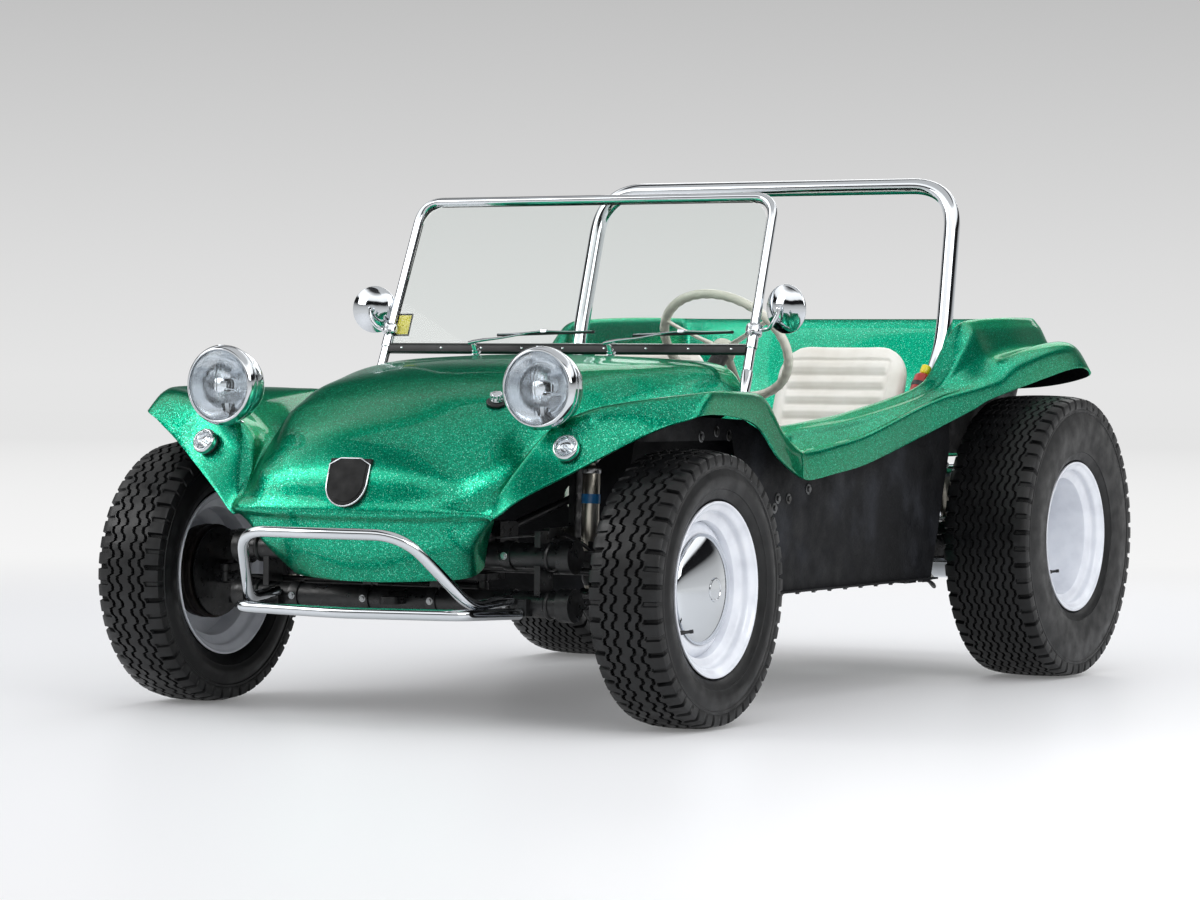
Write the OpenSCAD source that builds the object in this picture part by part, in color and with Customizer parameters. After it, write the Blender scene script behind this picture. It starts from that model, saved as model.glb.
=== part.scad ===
// Dune buggy: open moulded body on a floor pan, rear engine, steered front wheels.
// Millimetres. +Z is up, the car faces -Y and its left side is +X. The origin is on
// the ground under the middle of the whole car.

/* [Chassis] */
// Distance between the front and rear axles
wheelbase = 2032; // [1950:1:2120]
// Front axle to the front of the bumper
front_overhang = 540; // [530:1:600]
// Rear axle to the back of the rear bumper
rear_overhang = 700; // [680:1:780]
// Underside of the floor pan above the ground
ground_clearance = 286; // [270:1:300]
// Half the width of the cockpit between its side walls
cockpit_half_w = 592; // [585:1:600]
// Wall of the moulded body shell
shell_t = 6; // [4:0.5:7]
// Thickness of the steel floor and side panels
panel_t = 5; // [3:0.5:8]

/* [Wheels] */
// Outside diameter of a front tyre
front_tyre_d = 656; // [620:1:665]
// Width of a front tyre
front_tyre_w = 190; // [170:1:195]
// Middle of a front tyre from the middle of the car
front_track_half = 694; // [690:1:710]
// Outside diameter of a rear tyre
rear_tyre_d = 784; // [740:1:790]
// Width of a rear tyre
rear_tyre_w = 252; // [240:1:290]
// Middle of a rear tyre from the middle of the car
rear_track_half = 723; // [710:1:730]
// Outside diameter of the rim flanges
rim_d = 416; // [400:1:420]
// Width over the flanges of a front rim
front_rim_w = 158; // [150:1:164]
// Face that the front wheel disc bolts to, from the middle of the car
front_disc_x = 706; // [700:1:715]
// Diameter of the front hub caps
front_cap_d = 262; // [240:1:270]
// Width over the flanges of a rear rim
rear_rim_w = 220; // [210:1:240]
// Face that the rear wheel disc bolts to, from the middle of the car
rear_disc_x = 660; // [656:1:680]
// Diameter of the rear hub caps
rear_cap_d = 150; // [146:1:170]

/* [Steering] */
// Kingpin from the middle of the car
kingpin_half = 575; // [565:1:585]
// Length of the steering arms
steer_arm = 95; // [85:1:100]
// Steering box shaft from the middle of the car
box_x = 170; // [150:1:200]
// Outside diameter of the steering wheel
steering_wheel_d = 370; // [340:1:390]
// Slope of the steering column
column_slope = 40; // [35:1:45]

/* [Tubes] */
// Outside diameter of the roll hoop
hoop_d = 44.5; // [38:0.5:50]
// Outside diameter of the bumper tubes
bumper_d = 27; // [22:0.5:32]
// Outside diameter of the windscreen frame
frame_d = 24; // [20:0.5:28]
// Height of the top of the roll hoop above the ground
overall_h = 1384; // [1340:1:1430]

/* [Lamps and mirrors] */
// Outside diameter of the headlamp shells
headlamp_d = 196; // [180:1:205]
// Diameter of the mirror heads
mirror_d = 124; // [110:1:140]

/* [Hidden] */
$fn = 48;

// Running clearance of pins in their bores, and the gap between panels that only touch
pin_gap = 0.05;
seat_gap = 0.3;

drum_depth = 56;
spindle_r = 15;
shaft_r = 19;
front_plate_x = front_disc_x - drum_depth - 6 - panel_t;
rear_plate_x = rear_disc_x - drum_depth - 6 - panel_t;

length = front_overhang + wheelbase + rear_overhang;
front_y = front_overhang - length / 2;
rear_y = front_y + wheelbase;
front_z = front_tyre_d / 2;
rear_z = rear_tyre_d / 2;
pan_top = ground_clearance + panel_t;

// Where a front point stands behind the front axle, and a rear point behind the rear axle
function f(p) = [p[0], p[1] + front_y, p[2]];
function r(p) = [p[0], p[1] + rear_y, p[2]];
function flip(p) = [-p[0], p[1], p[2]];

// A smooth curve through its points, with n steps in each span
function clamp(list, i) = list[max(0, min(len(list) - 1, i))];
function spline(a, b, c, d, t) =
    0.5 * (2 * b + (c - a) * t + (2 * a - 5 * b + 4 * c - d) * t * t + (3 * b - a - 3 * c + d) * t * t * t);
function smooth(list, n) = [
    for (i = [0:len(list) - 2], k = [0:n - 1])
        spline(clamp(list, i - 1), list[i], list[i + 1], clamp(list, i + 2), k / n),
    list[len(list) - 1]
];
function loft(net, across, along) = smooth([for (row = net) smooth(row, across)], along);
function normal(g, i, j) =
    let (c = cross(clamp(g, i + 1)[j] - clamp(g, i - 1)[j], clamp(g[i], j + 1) - clamp(g[i], j - 1)))
    c / norm(c);

// A closed shell of even wall below the grid of points
module shell(g, t) {
    rows = len(g);
    cols = len(g[0]);
    n = rows * cols;
    top = [for (row = g) each row];
    under = [for (i = [0:rows - 1], j = [0:cols - 1]) g[i][j] - t * normal(g, i, j)];
    function at(i, j) = i * cols + j;
    skin = [for (i = [0:rows - 2], j = [0:cols - 2]) each [
        [at(i, j), at(i + 1, j + 1), at(i + 1, j)],
        [at(i, j), at(i, j + 1), at(i + 1, j + 1)],
        [n + at(i, j), n + at(i + 1, j), n + at(i + 1, j + 1)],
        [n + at(i, j), n + at(i + 1, j + 1), n + at(i, j + 1)]]];
    sides = [for (i = [0:rows - 2]) each [
        [at(i, 0), at(i + 1, 0), n + at(i + 1, 0)],
        [at(i, 0), n + at(i + 1, 0), n + at(i, 0)],
        [at(i + 1, cols - 1), at(i, cols - 1), n + at(i, cols - 1)],
        [at(i + 1, cols - 1), n + at(i, cols - 1), n + at(i + 1, cols - 1)]]];
    ends = [for (j = [0:cols - 2]) each [
        [at(0, j + 1), at(0, j), n + at(0, j)],
        [at(0, j + 1), n + at(0, j), n + at(0, j + 1)],
        [at(rows - 1, j), at(rows - 1, j + 1), n + at(rows - 1, j + 1)],
        [at(rows - 1, j), n + at(rows - 1, j + 1), n + at(rows - 1, j)]]];
    polyhedron(points = concat(top, under), faces = concat(skin, sides, ends));
}

// A round tube along a path; the path never runs along the given direction
function unit(v) = v / norm(v);
// Rounds the corners of a path; radii is one number for all of them or a list with one each
function bend(path, radii, n = 5) = [
    path[0],
    for (i = [1:len(path) - 2])
        let (radius = is_list(radii) ? radii[i - 1] : radii,
             a = path[i] + unit(path[i - 1] - path[i]) * radius,
             b = path[i] + unit(path[i + 1] - path[i]) * radius)
        for (k = [0:n])
            let (t = k / n) (1 - t) * (1 - t) * a + 2 * t * (1 - t) * path[i] + t * t * b,
    path[len(path) - 1]
];
module tube(path, d, aside, sides = 12) {
    rings = len(path);
    points = [
        for (i = [0:rings - 1])
            let (t = unit(clamp(path, i + 1) - clamp(path, i - 1)), u = unit(cross(t, aside)), v = cross(t, u))
            for (k = [0:sides - 1])
                path[i] + d / 2 * (cos(360 * k / sides) * u + sin(360 * k / sides) * v)
    ];
    last = (rings - 1) * sides;
    skin = [
        for (i = [0:rings - 2], k = [0:sides - 1])
            let (a = i * sides + k, b = i * sides + (k + 1) % sides)
            each [[a, b + sides, b], [a, a + sides, b + sides]]
    ];
    caps = [for (k = [1:sides - 2]) each [[0, k, k + 1], [last, last + k + 1, last + k]]];
    polyhedron(points = points, faces = concat(skin, caps));
}

// A rod from one point to another, with true round sides
module rod(a, b, rad) {
    v = b - a;
    translate(a)
        rotate([0, acos(v[2] / norm(v)), atan2(v[1], v[0])])
            cylinder(r = rad, h = norm(v));
}
// A disc or ring that turns about the car's width; along the outline, x is radius and y points outward
module lathe_x(outline, steps = 96) {
    rotate([0, 90, 0]) rotate_extrude($fn = steps) polygon(outline);
}
module both_sides() {
    children();
    mirror([1, 0, 0]) children();
}

// ---------------------------------------------------------------- front beam places
// The twin tubes stand above and below the wheel's middle and end inside the kingpins
beam_y = -150;
beam_zu = front_z + 72;
beam_zl = front_z - 42;
beam_r = 31;
beam_half = kingpin_half - 135;
arm_z = front_z + 15;
tower_x = kingpin_half - 199;
bracket_x = tower_x - 46;
eye_r = 11;

// ---------------------------------------------------------------- steering column places
wheel_c = [320, 900, 908];
column_len = 430;
column_gap = 42;
jacket_r = 22;
column_end = column_len + 10;
column_joint = f(wheel_c) - column_end * [0, cos(column_slope), sin(column_slope)];
box_top = [box_x, front_y + 10, front_z + 120];

// ---------------------------------------------------------------- body shells
// Left half of the front body, from the chin up over the nose to the cowl. Each row runs from
// the lower edge of the wing to the middle: lower edge, upper edge, crest, slope, valley,
// bonnet side, shoulder, quarter, middle.
front_rows = [
    [[254, -196, 372], [254, -214, 362], [252, -234, 354], [243, -256, 348], [218, -281, 344],
     [170, -303, 341], [112, -320, 338], [56, -330, 336], [0, -333, 336]],
    [[290, -236, 440], [294, -270, 432], [296, -300, 427], [290, -325, 424], [268, -346, 422],
     [214, -361, 420], [145, -371, 419], [72, -376, 418], [0, -378, 418]],
    [[352, -318, 482], [351, -333, 480], [345, -346, 478], [329, -359, 476], [299, -371, 474],
     [234, -384, 471], [160, -392, 469], [80, -396, 468], [0, -398, 468]],
    [[360, -347, 487], [357, -352, 496], [350, -360, 501], [338, -368, 503], [317, -377, 504],
     [250, -395, 500], [170, -405, 498], [85, -410, 497], [0, -412, 497]],
    [[382, -344, 504], [366, -330, 532], [358, -324, 540], [347, -327, 540], [333, -338, 536],
     [262, -380, 532], [176, -397, 531], [88, -404, 531], [0, -406, 531]],
    [[429, -325, 543], [387, -290, 590], [377, -266, 604], [367, -258, 599], [357, -262, 587],
     [286, -340, 592], [188, -374, 600], [94, -384, 604], [0, -386, 605]],
    [[530, -266, 603], [452, -238, 664], [440, -214, 699], [412, -190, 672], [384, -190, 626],
     [338, -236, 644], [254, -286, 668], [140, -310, 680], [0, -318, 684]],
    [[629, -212, 662], [543, -207, 728], [522, -160, 748], [462, -130, 708], [406, -108, 657],
     [372, -132, 692], [312, -164, 730], [165, -190, 750], [0, -196, 756]],
    [[712, -172, 707], [660, -148, 764], [632, -92, 770], [520, -66, 727], [420, -52, 676],
     [384, -66, 715], [322, -90, 764], [168, -106, 789], [0, -110, 796]],
    [[776, -120, 733], [762, -78, 778], [732, -36, 787], [570, -8, 748], [436, 2, 695],
     [396, -4, 738], [330, -16, 792], [172, -24, 818], [0, -26, 825]],
    [[762, 20, 737], [755, 50, 784], [724, 66, 792], [595, 84, 766], [458, 92, 714],
     [414, 90, 762], [342, 88, 814], [176, 86, 843], [0, 86, 850]],
    [[738, 200, 725], [732, 206, 780], [704, 212, 792], [606, 216, 778], [496, 218, 738],
     [444, 218, 792], [362, 218, 838], [186, 218, 858], [0, 218, 864]],
    [[722, 318, 698], [708, 345, 770], [682, 350, 788], [612, 350, 784], [532, 350, 755],
     [472, 346, 812], [396, 346, 850], [202, 346, 866], [0, 346, 871]],
    [[716, 423, 632], [698, 432, 728], [668, 440, 772], [614, 448, 784], [542, 452, 760],
     [492, 454, 822], [426, 454, 858], [216, 454, 874], [0, 454, 879]],
    [[702, 545, 590], [690, 530, 662], [655, 528, 716], [614, 528, 760], [548, 530, 752],
     [508, 530, 818], [438, 530, 861], [222, 530, 876], [0, 530, 880]],
    [[686, 618, 576], [682, 618, 634], [655, 618, 660], [612, 618, 696], [564, 618, 716],
     [516, 618, 800], [446, 618, 858], [226, 618, 874], [0, 618, 878]]
];
front_net = [for (row = front_rows) [
    for (p = row) f(p),
    for (j = [len(row) - 2:-1:0]) flip(f(row[j]))
]];

// Left rear body, rearward along the rail, up the rear wing and round the tail to the middle.
// Each row runs from the lower edge of the lip inward: lower edge, upper edge, crown, valley,
// outside of the rim, inside of the rim, middle of the wall, foot of the wall.
wall_x = cockpit_half_w;
wall_z = pan_top + seat_gap;
rail_rows = [
    [[686, 619, 576], [682, 619, 634], [664, 619, 652], [642, 619, 671], [622, 619, 691],
     [wall_x, 619, 690], [wall_x, 619, 520], [wall_x, 619, wall_z]],
    [[680, 680, 571], [678, 680, 632], [662, 680, 652], [642, 680, 673], [622, 680, 696],
     [wall_x, 680, 692], [wall_x, 680, 520], [wall_x, 680, wall_z]],
    [[676, 820, 584], [676, 820, 646], [662, 820, 664], [645, 820, 684], [626, 820, 706],
     [wall_x, 820, 703], [wall_x, 820, 520], [wall_x, 820, wall_z]],
    [[670, 1020, 606], [672, 1020, 671], [660, 1020, 687], [646, 1020, 704], [630, 1020, 723],
     [wall_x, 1020, 722], [wall_x, 1020, 520], [wall_x, 1020, wall_z]]
];
wing_rows = [
    [[670, -708, 667], [671, -708, 738], [660, -708, 748], [647, -708, 757], [632, -708, 764],
     [wall_x, -708, 763], [wall_x, -708, 540], [wall_x, -708, wall_z]],
    [[680, -560, 703], [678, -560, 770], [664, -560, 780], [650, -560, 789], [634, -560, 795],
     [wall_x + 4, -560, 792], [wall_x, -560, 560], [wall_x, -560, wall_z]],
    [[690, -470, 727], [690, -440, 788], [674, -450, 802], [656, -462, 820], [640, -470, 838],
     [597, -476, 842], [wall_x, -480, 700], [wall_x, -480, 310]],
    [[698, -390, 748], [700, -340, 803], [682, -350, 826], [664, -360, 868], [646, -372, 916],
     [603, -384, 930], [wall_x - 1, -390, 740], [wall_x - 4, -398, 430]],
    [[705, -320, 770], [708, -262, 818], [692, -266, 848], [668, -276, 892], [640, -300, 960],
     [606, -320, 968], [592, -330, 800], [562, -338, 622]],
    [[722, -160, 802], [722, -160, 856], [700, -166, 888], [662, -174, 898], [630, -190, 970],
     [600, -200, 980], [566, -200, 800], [534, -200, 622]],
    [[732, 10, 832], [731, 15, 896], [700, 15, 922], [656, 15, 914], [622, 15, 978],
     [592, 15, 988], [556, 15, 800], [532, 15, 622]],
    [[738, 180, 858], [729, 175, 915], [694, 175, 936], [644, 175, 918], [606, 175, 982],
     [578, 175, 990], [550, 165, 800], [528, 140, 622]],
    [[742, 290, 862], [716, 268, 918], [684, 270, 933], [632, 276, 922], [592, 280, 983],
     [564, 270, 990], [540, 245, 800], [516, 185, 622]],
    [[716, 350, 836], [680, 344, 906], [646, 340, 924], [602, 330, 920], [568, 322, 982],
     [540, 300, 990], [505, 262, 800], [470, 196, 622]],
    [[560, 372, 806], [540, 372, 880], [520, 366, 906], [500, 352, 916], [484, 340, 980],
     [470, 312, 990], [440, 268, 800], [420, 200, 622]],
    [[280, 378, 795], [270, 378, 868], [265, 370, 898], [260, 356, 912], [250, 342, 978],
     [245, 314, 990], [235, 270, 800], [230, 200, 622]],
    [[0, 378, 794], [0, 378, 866], [0, 370, 896], [0, 356, 911], [0, 342, 978],
     [0, 314, 990], [0, 270, 800], [0, 200, 622]]
];
rear_left = concat([for (row = rail_rows) [for (p = row) f(p)]], [for (row = wing_rows) [for (p = row) r(p)]]);
rear_net = concat(rear_left, [for (i = [len(rear_left) - 2:-1:0]) [for (p = rear_left[i]) flip(p)]]);

module front_body() {
    color("green") shell(loft(front_net, 2, 2), shell_t);
}
module rear_body() {
    color("green") shell(loft(rear_net, 2, 2), shell_t);
}

// ---------------------------------------------------------------- pan, panels and floors
// Half width of the pan's narrow nose, and where the nose starts and widens
nose_half_w = 340;
nose_start = 262;
nose_end = 600;
pan_end = wheelbase - 440;
tunnel_w = 170;
tunnel_h = 150;
tunnel_start = front_y + nose_start + panel_t + seat_gap;
tunnel_len = front_y + pan_end - tunnel_start;
pad_h = 12;
pad_inset = 60;

pan_outline = [
    [-nose_half_w, front_y + nose_start], [nose_half_w, front_y + nose_start],
    [wall_x, front_y + nose_end], [wall_x, front_y + pan_end],
    [-wall_x, front_y + pan_end], [-wall_x, front_y + nose_end]
];
module floor_pan() {
    color("black") {
        translate([0, 0, ground_clearance]) linear_extrude(panel_t) polygon(pan_outline);
        // the tunnel down the middle, open along its underside
        translate([0, tunnel_start, pan_top - 1]) difference() {
            translate([-tunnel_w / 2, 0, 0]) cube([tunnel_w, tunnel_len, tunnel_h]);
            translate([-tunnel_w / 2 + panel_t, panel_t, -1])
                cube([tunnel_w - 2 * panel_t, tunnel_len - 2 * panel_t, tunnel_h - panel_t]);
        }
        // flat jacking pads at the corners of the pan
        for (side = [-1, 1], y = [front_y + nose_end + pad_inset, front_y + pan_end - pad_inset])
            translate([side * (wall_x - pad_inset) - 30, y - 30, ground_clearance - pad_h])
                cube([60, 60, pad_h]);
    }
}

side_panel_x = wall_x + shell_t + 3 * seat_gap;
liner_z = front_tyre_d + 16;
module side_panels() {
    color("black") both_sides() {
        translate([side_panel_x, 0, 0]) rotate([90, 0, 90]) linear_extrude(panel_t) polygon([
            [front_y + nose_end + 4, ground_clearance], [front_y + pan_end - 28, ground_clearance],
            [rear_y - 352, 640], [rear_y - 360, 715], [rear_y - 560, 690], [rear_y - 708, 640],
            [front_y + 1020, 600], [front_y + 680, 600], [front_y + nose_end, 662],
            // carried on forward over the front wheel as the liner of the wing
            [front_y + 560, 690], [front_y + 450, 722], [front_y + 200, 730], [front_y, 730],
            [front_y - 90, 716], [front_y - 112, liner_z + 12], [front_y - 70, liner_z],
            [front_y + 400, liner_z], [front_y + 440, 560], [front_y + 520, 400]
        ]);
        // the sill flange that the pan's edge bolts to
        translate([side_panel_x + panel_t, front_y + nose_end + 4, ground_clearance])
            cube([22, pan_end - nose_end - 32, panel_t]);
    }
}

shaft_hole = box_top
    + (column_joint - box_top) * (front_y + nose_start - box_top[1]) / (column_joint[1] - box_top[1]);
module firewall() {
    color("black") {
        // the upright wall behind the front beam
        translate([0, front_y + nose_start + panel_t, pan_top + seat_gap])
            rotate([90, 0, 0]) linear_extrude(panel_t) difference() {
                polygon([[-nose_half_w, 0], [nose_half_w, 0], [nose_half_w + 70, 420], [nose_half_w - 20, 505],
                         [-nose_half_w + 20, 505], [-nose_half_w - 70, 420]]);
                translate([shaft_hole[0], shaft_hole[2] - pan_top - seat_gap]) circle(r = 34);
            }
        // the slanted sides of the foot well behind the front wheels
        both_sides() translate([0, 0, pan_top + seat_gap]) linear_extrude(400) polygon([
            [nose_half_w - 3, front_y + nose_start + panel_t + seat_gap],
            [nose_half_w + 3, front_y + nose_start + panel_t + seat_gap],
            [wall_x, front_y + nose_end - 8], [wall_x, front_y + nose_end + 12],
            [wall_x - panel_t, front_y + nose_end + 12], [wall_x - panel_t, front_y + nose_end - 4]
        ]);
    }
}

cargo_z = 612;
bulkhead_half = wall_x - 6;
module cargo_floor() {
    front = front_y + pan_end - seat_gap;
    color("green") {
        // the shelf over the gearbox, narrow between the legs of the hoop
        translate([0, 0, cargo_z]) linear_extrude(panel_t) polygon([
            [-494, front - panel_t], [494, front - panel_t], [494, rear_y - 345], [546, rear_y - 335],
            [528, rear_y - 180], [524, rear_y + 20], [518, rear_y + 140], [500, rear_y + 178],
            [460, rear_y + 190], [-460, rear_y + 190], [-500, rear_y + 178], [-518, rear_y + 140],
            [-524, rear_y + 20], [-528, rear_y - 180], [-546, rear_y - 335], [-494, rear_y - 345]
        ]);
        // the wall behind the seats
        translate([0, front, pan_top + seat_gap]) rotate([90, 0, 0]) linear_extrude(panel_t) difference() {
            translate([-bulkhead_half, 0]) square([2 * bulkhead_half, cargo_z - pan_top]);
            translate([-tunnel_w / 2 - 1, -1]) square([tunnel_w + 2, tunnel_h + 1]);
        }
    }
}

dash_y = 588;
dash_half_w = 470;
gauge_r = 40;
hanger_z = wheel_c[2] - (wheel_c[1] - dash_y) * tan(column_slope) + jacket_r / cos(column_slope) + seat_gap;
module dashboard() {
    color("black") difference() {
        translate([0, front_y + dash_y, 700]) rotate([90, 0, 0]) linear_extrude(8)
            polygon([[-dash_half_w - 40, 50], [-dash_half_w + 30, 0], [dash_half_w - 30, 0],
                     [dash_half_w + 40, 50], [dash_half_w - 10, 140], [0, 172], [-dash_half_w + 10, 140]]);
        for (x = [220, 320, 420])
            translate([x, front_y + dash_y + 1, 785]) rotate([90, 0, 0]) cylinder(r = gauge_r, h = 5);
    }
    // the hanger that holds the steering column
    color("black") translate([wheel_c[0] - 20, front_y + dash_y - 8, hanger_z]) cube([40, 8, 705 - hanger_z]);
}

// ---------------------------------------------------------------- windscreen and hoop
screen_foot = [545, 562, 774];
screen_top = [526, 768, 1285];
screen_rake = atan((screen_top[1] - screen_foot[1]) / (screen_top[2] - screen_foot[2]));
module windscreen_frame() {
    color("silver") tube(bend([
        f(screen_foot), f(screen_top), flip(f(screen_top)), flip(f(screen_foot))
    ], 62), frame_d, [0, cos(screen_rake), -sin(screen_rake)]);
}
seal_z = 895;
seal_h = 27;
glass_t = 5;
// Moves the children into the plane of the windscreen, at its foot; y runs up the glass
module in_screen() {
    translate(f([0, screen_foot[1], screen_foot[2]])) rotate([90 - screen_rake, 0, 0]) children();
}
screen_len = norm(screen_top - screen_foot);
seal_u = (seal_z - screen_foot[2]) / cos(screen_rake);
glass_edge = frame_d / 2 + seat_gap;
// Half width between the posts, a distance u up the glass
function screen_half(u) = screen_foot[0] + (screen_top[0] - screen_foot[0]) * u / screen_len;
seal_top = seal_u + seal_h / 2;
module windscreen_glass() {
    corner = 64;
    color("white", 0.4) in_screen() translate([0, 0, -glass_t / 2])
        linear_extrude(glass_t) hull() both_sides() {
        translate([0, seal_top + seat_gap]) square([screen_half(seal_top) - glass_edge, 1]);
        translate([screen_half(screen_len) - glass_edge - corner, screen_len - glass_edge - corner - 0.6])
            circle(r = corner);
    }
}
module windscreen_seal() {
    half = screen_half(seal_top) - glass_edge;
    color("black") in_screen() translate([-half, seal_u - seal_h / 2, -9]) cube([2 * half, seal_h, 18]);
}

hoop_top_half = 534;
foot_t = 8;
hoop_foot = [536, pan_end - wheelbase - 37, pan_top + foot_t + 2 * seat_gap];
hoop_points = [
    hoop_foot, [hoop_foot[0], hoop_foot[1], 630], [571, -345, 900], [572, -324, 974],
    [hoop_top_half + 22, -226, overall_h - hoop_d / 2]
];
hoop_bends = [55, 36, 36, 130, 130, 36, 36, 55];
module roll_hoop() {
    left = [for (p = hoop_points) r(p)];
    color("silver") {
        tube(bend(concat(left, [for (i = [len(left) - 1:-1:0]) flip(left[i])]), hoop_bends), hoop_d, [0, 1, -0.3]);
        both_sides() translate(r([hoop_foot[0] - 40, hoop_foot[1] - 75, pan_top + seat_gap]))
            cube([80, 97, foot_t]);
    }
}

// ---------------------------------------------------------------- bumpers
module front_bumper() {
    y0 = -front_overhang + bumper_d / 2;
    upper = [f([bracket_x, -205, beam_zl + 12]), f([310, -352, 288]), f([226, y0 + 14, 456]), f([0, y0, 456])];
    lower = [f([bracket_x + 22, -200, beam_zl - 20]), f([310, -402, 270]), f([0, -418, 266])];
    upper_bends = [42, 78, 42, 78, 42];
    color("silver") {
        tube(bend(concat(upper, [for (i = [2:-1:0]) flip(upper[i])]), upper_bends), bumper_d, [0, 0.75, 0.66]);
        tube(bend(concat(lower, [for (i = [1:-1:0]) flip(lower[i])]), 42), bumper_d, [0, 0, 1]);
    }
}
horn_x = 375;
horn_end = 60;
module rear_bumper() {
    y0 = rear_overhang - bumper_d / 2;
    upper = [r([horn_x, horn_end + 1.5, 446]), r([horn_x, y0 - 60, 470]), r([330, y0, 560]), r([0, y0, 560])];
    lower = [r([horn_x, horn_end + 120, 440]), r([horn_x, horn_end + 200, 352]), r([horn_x, y0 - 40, 352]),
             r([0, y0 - 40, 352])];
    color("silver") {
        tube(bend(concat(upper, [for (i = [2:-1:0]) flip(upper[i])]), 40), bumper_d, [0, 0.6, 0.8]);
        tube(bend(concat(lower, [for (i = [2:-1:0]) flip(lower[i])]), 40), bumper_d, [0, 0.6, 0.8]);
    }
}

// ---------------------------------------------------------------- lamps, mirrors, wipers
lamp_c = [447, -255, 796];
lamp_foot = 703.5;
module headlamps() {
    color("silver") both_sides() translate(f(lamp_c)) {
        rotate([90, 0, 0]) rotate_extrude($fn = 96) polygon([
            [0, -88], [32, -84], [62, -68], [84, -42], [headlamp_d / 2 - 4, -14], [headlamp_d / 2, 8],
            [headlamp_d / 2, 30], [headlamp_d / 2 - 8, 38], [60, 46], [0, 50]
        ]);
        translate([-4, 30, lamp_foot - lamp_c[2]]) cylinder(r = 14, h = lamp_c[2] - lamp_foot - 40);
    }
}
signal_c = [506.4, -243, 652.1];
module turn_signals() {
    color("silver") both_sides() translate(f(signal_c)) rotate([65, 0, 7])
        rotate_extrude() polygon([[0, 0], [20, 0], [27, 2.5], [30, 8], [30, 22], [24, 30], [0, 36]]);
}
module tail_lamps() {
    color("red") both_sides() translate(r([625, 369, 872])) rotate([-84, 0, -18])
        rotate_extrude() polygon([[0, 0], [38, 0], [42, 6], [42, 16], [30, 30], [0, 36]]);
}
mirror_c = [610, 660, 998];
module mirrors() {
    color("silver") both_sides() {
        translate(f(mirror_c)) rotate([-88, 0, -12]) rotate_extrude($fn = 72) polygon([
            [0, -22], [24, -20], [46, -12], [mirror_d / 2 - 2, 0], [mirror_d / 2, 4], [mirror_d / 2 - 3, 9], [0, 9]
        ]);
        rod(f([562, 632, 944]), f([600, 650, 975]), 6);
        translate(f([538.9, 628.5, 939])) rotate([-screen_rake, -2, 0]) difference() {
            cylinder(r = 22, h = 24, center = true);
            cylinder(r = frame_d / 2 + 3 * seat_gap, h = 26, center = true);
            translate([-30, -30, -13]) cube([24, 60, 26]);
        }
    }
}
wiper_feet = [[-235, 879.1], [165, 880.9]];
module wipers() {
    color("silver") for (foot = wiper_feet) {
        x = foot[0];
        rod(f([x, 566, foot[1]]), f([x, 549, 912]), 8);
        rod(f([x, 546, 910]), f([x + 160, 585, 938]), 4);
        rod(f([x + 60, 574, 932]), f([x + 330, 592, 940]), 4);
    }
}

// ---------------------------------------------------------------- seats and controls
seat_x = 310;
seat_half_w = 210;
squab_lean = 20;
squab_t = 90;
squab_h = 538;
module seat() {
    color("white") {
        // the cushion
        translate([0, front_y + 1020, pan_top + 50]) hull() for (x = [-1, 1]) {
            translate([x * (seat_half_w - 50), 50, 10]) cylinder(r = 50, h = 130, $fn = 32);
            translate([x * (seat_half_w - 50), 370, 0]) cylinder(r = 50, h = 90, $fn = 32);
        }
        // the squab, leaning back, rounded at its top corners
        translate([0, front_y + pan_end - 87, pan_top + 110]) rotate([90 - squab_lean, 0, 0])
            linear_extrude(squab_t) hull() {
                translate([-seat_half_w + 25, 0]) square([2 * seat_half_w - 50, 10]);
                for (x = [-1, 1]) translate([x * (seat_half_w - 90), squab_h - 90]) circle(r = 90);
            }
        // the base that bolts to the pan
        translate([-150, front_y + 1060, pan_top + seat_gap]) cube([300, 330, 60]);
    }
}
module seat_left() {
    translate([seat_x, 0, 0]) seat();
}
module seat_right() {
    translate([-seat_x, 0, 0]) seat();
}
module in_column() {
    translate(f(wheel_c)) rotate([-90 + column_slope, 0, 0]) children();
}
module steering_wheel() {
    color("white") in_column() {
        rotate_extrude($fn = 96) translate([steering_wheel_d / 2 - 13, 0]) circle(r = 13, $fn = 32);
        translate([0, 0, -34]) cylinder(r = 34, h = 30);
        translate([0, 0, -column_gap - 38]) cylinder(r = 12 - pin_gap, h = 48);
        for (a = [90, 210, 330]) rotate([0, 0, a]) translate([20, -14, -15])
            cube([steering_wheel_d / 2 - 33, 28, 6]);
    }
}
module steering_column() {
    color("black") {
        in_column() translate([0, 0, -column_len]) difference() {
            cylinder(r = jacket_r, h = column_len - column_gap);
            translate([0, 0, column_len - column_gap - 40]) cylinder(r = 12, h = 60);
        }
        translate(column_joint) sphere(r = 24);
        rod(box_top, column_joint, 10);
        translate([box_x - 34, front_y - 40, front_z + 76]) cube([68, 84, 70]);
        translate([box_x - 20, front_y - 130, front_z + 96]) cube([40, 96, 22]);
    }
}
module floor_levers() {
    color("black") {
        rod(f([0, 930, pan_top + tunnel_h]), f([0, 900, pan_top + tunnel_h + 300]), 7);
        translate(f([0, 900, pan_top + tunnel_h + 305])) sphere(r = 22);
        rod(f([0, 1080, pan_top + tunnel_h + 5]), f([0, 970, pan_top + tunnel_h + 135]), 9);
    }
}
module fuel_cap() {
    color("silver") translate(f([253, -142.5, 760])) rotate([25, 12, 0]) {
        cylinder(r = 26, h = 7);
        translate([0, 0, 7]) cylinder(r1 = 17, r2 = 12, h = 20);
    }
}
bottle_r = 25;
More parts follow.
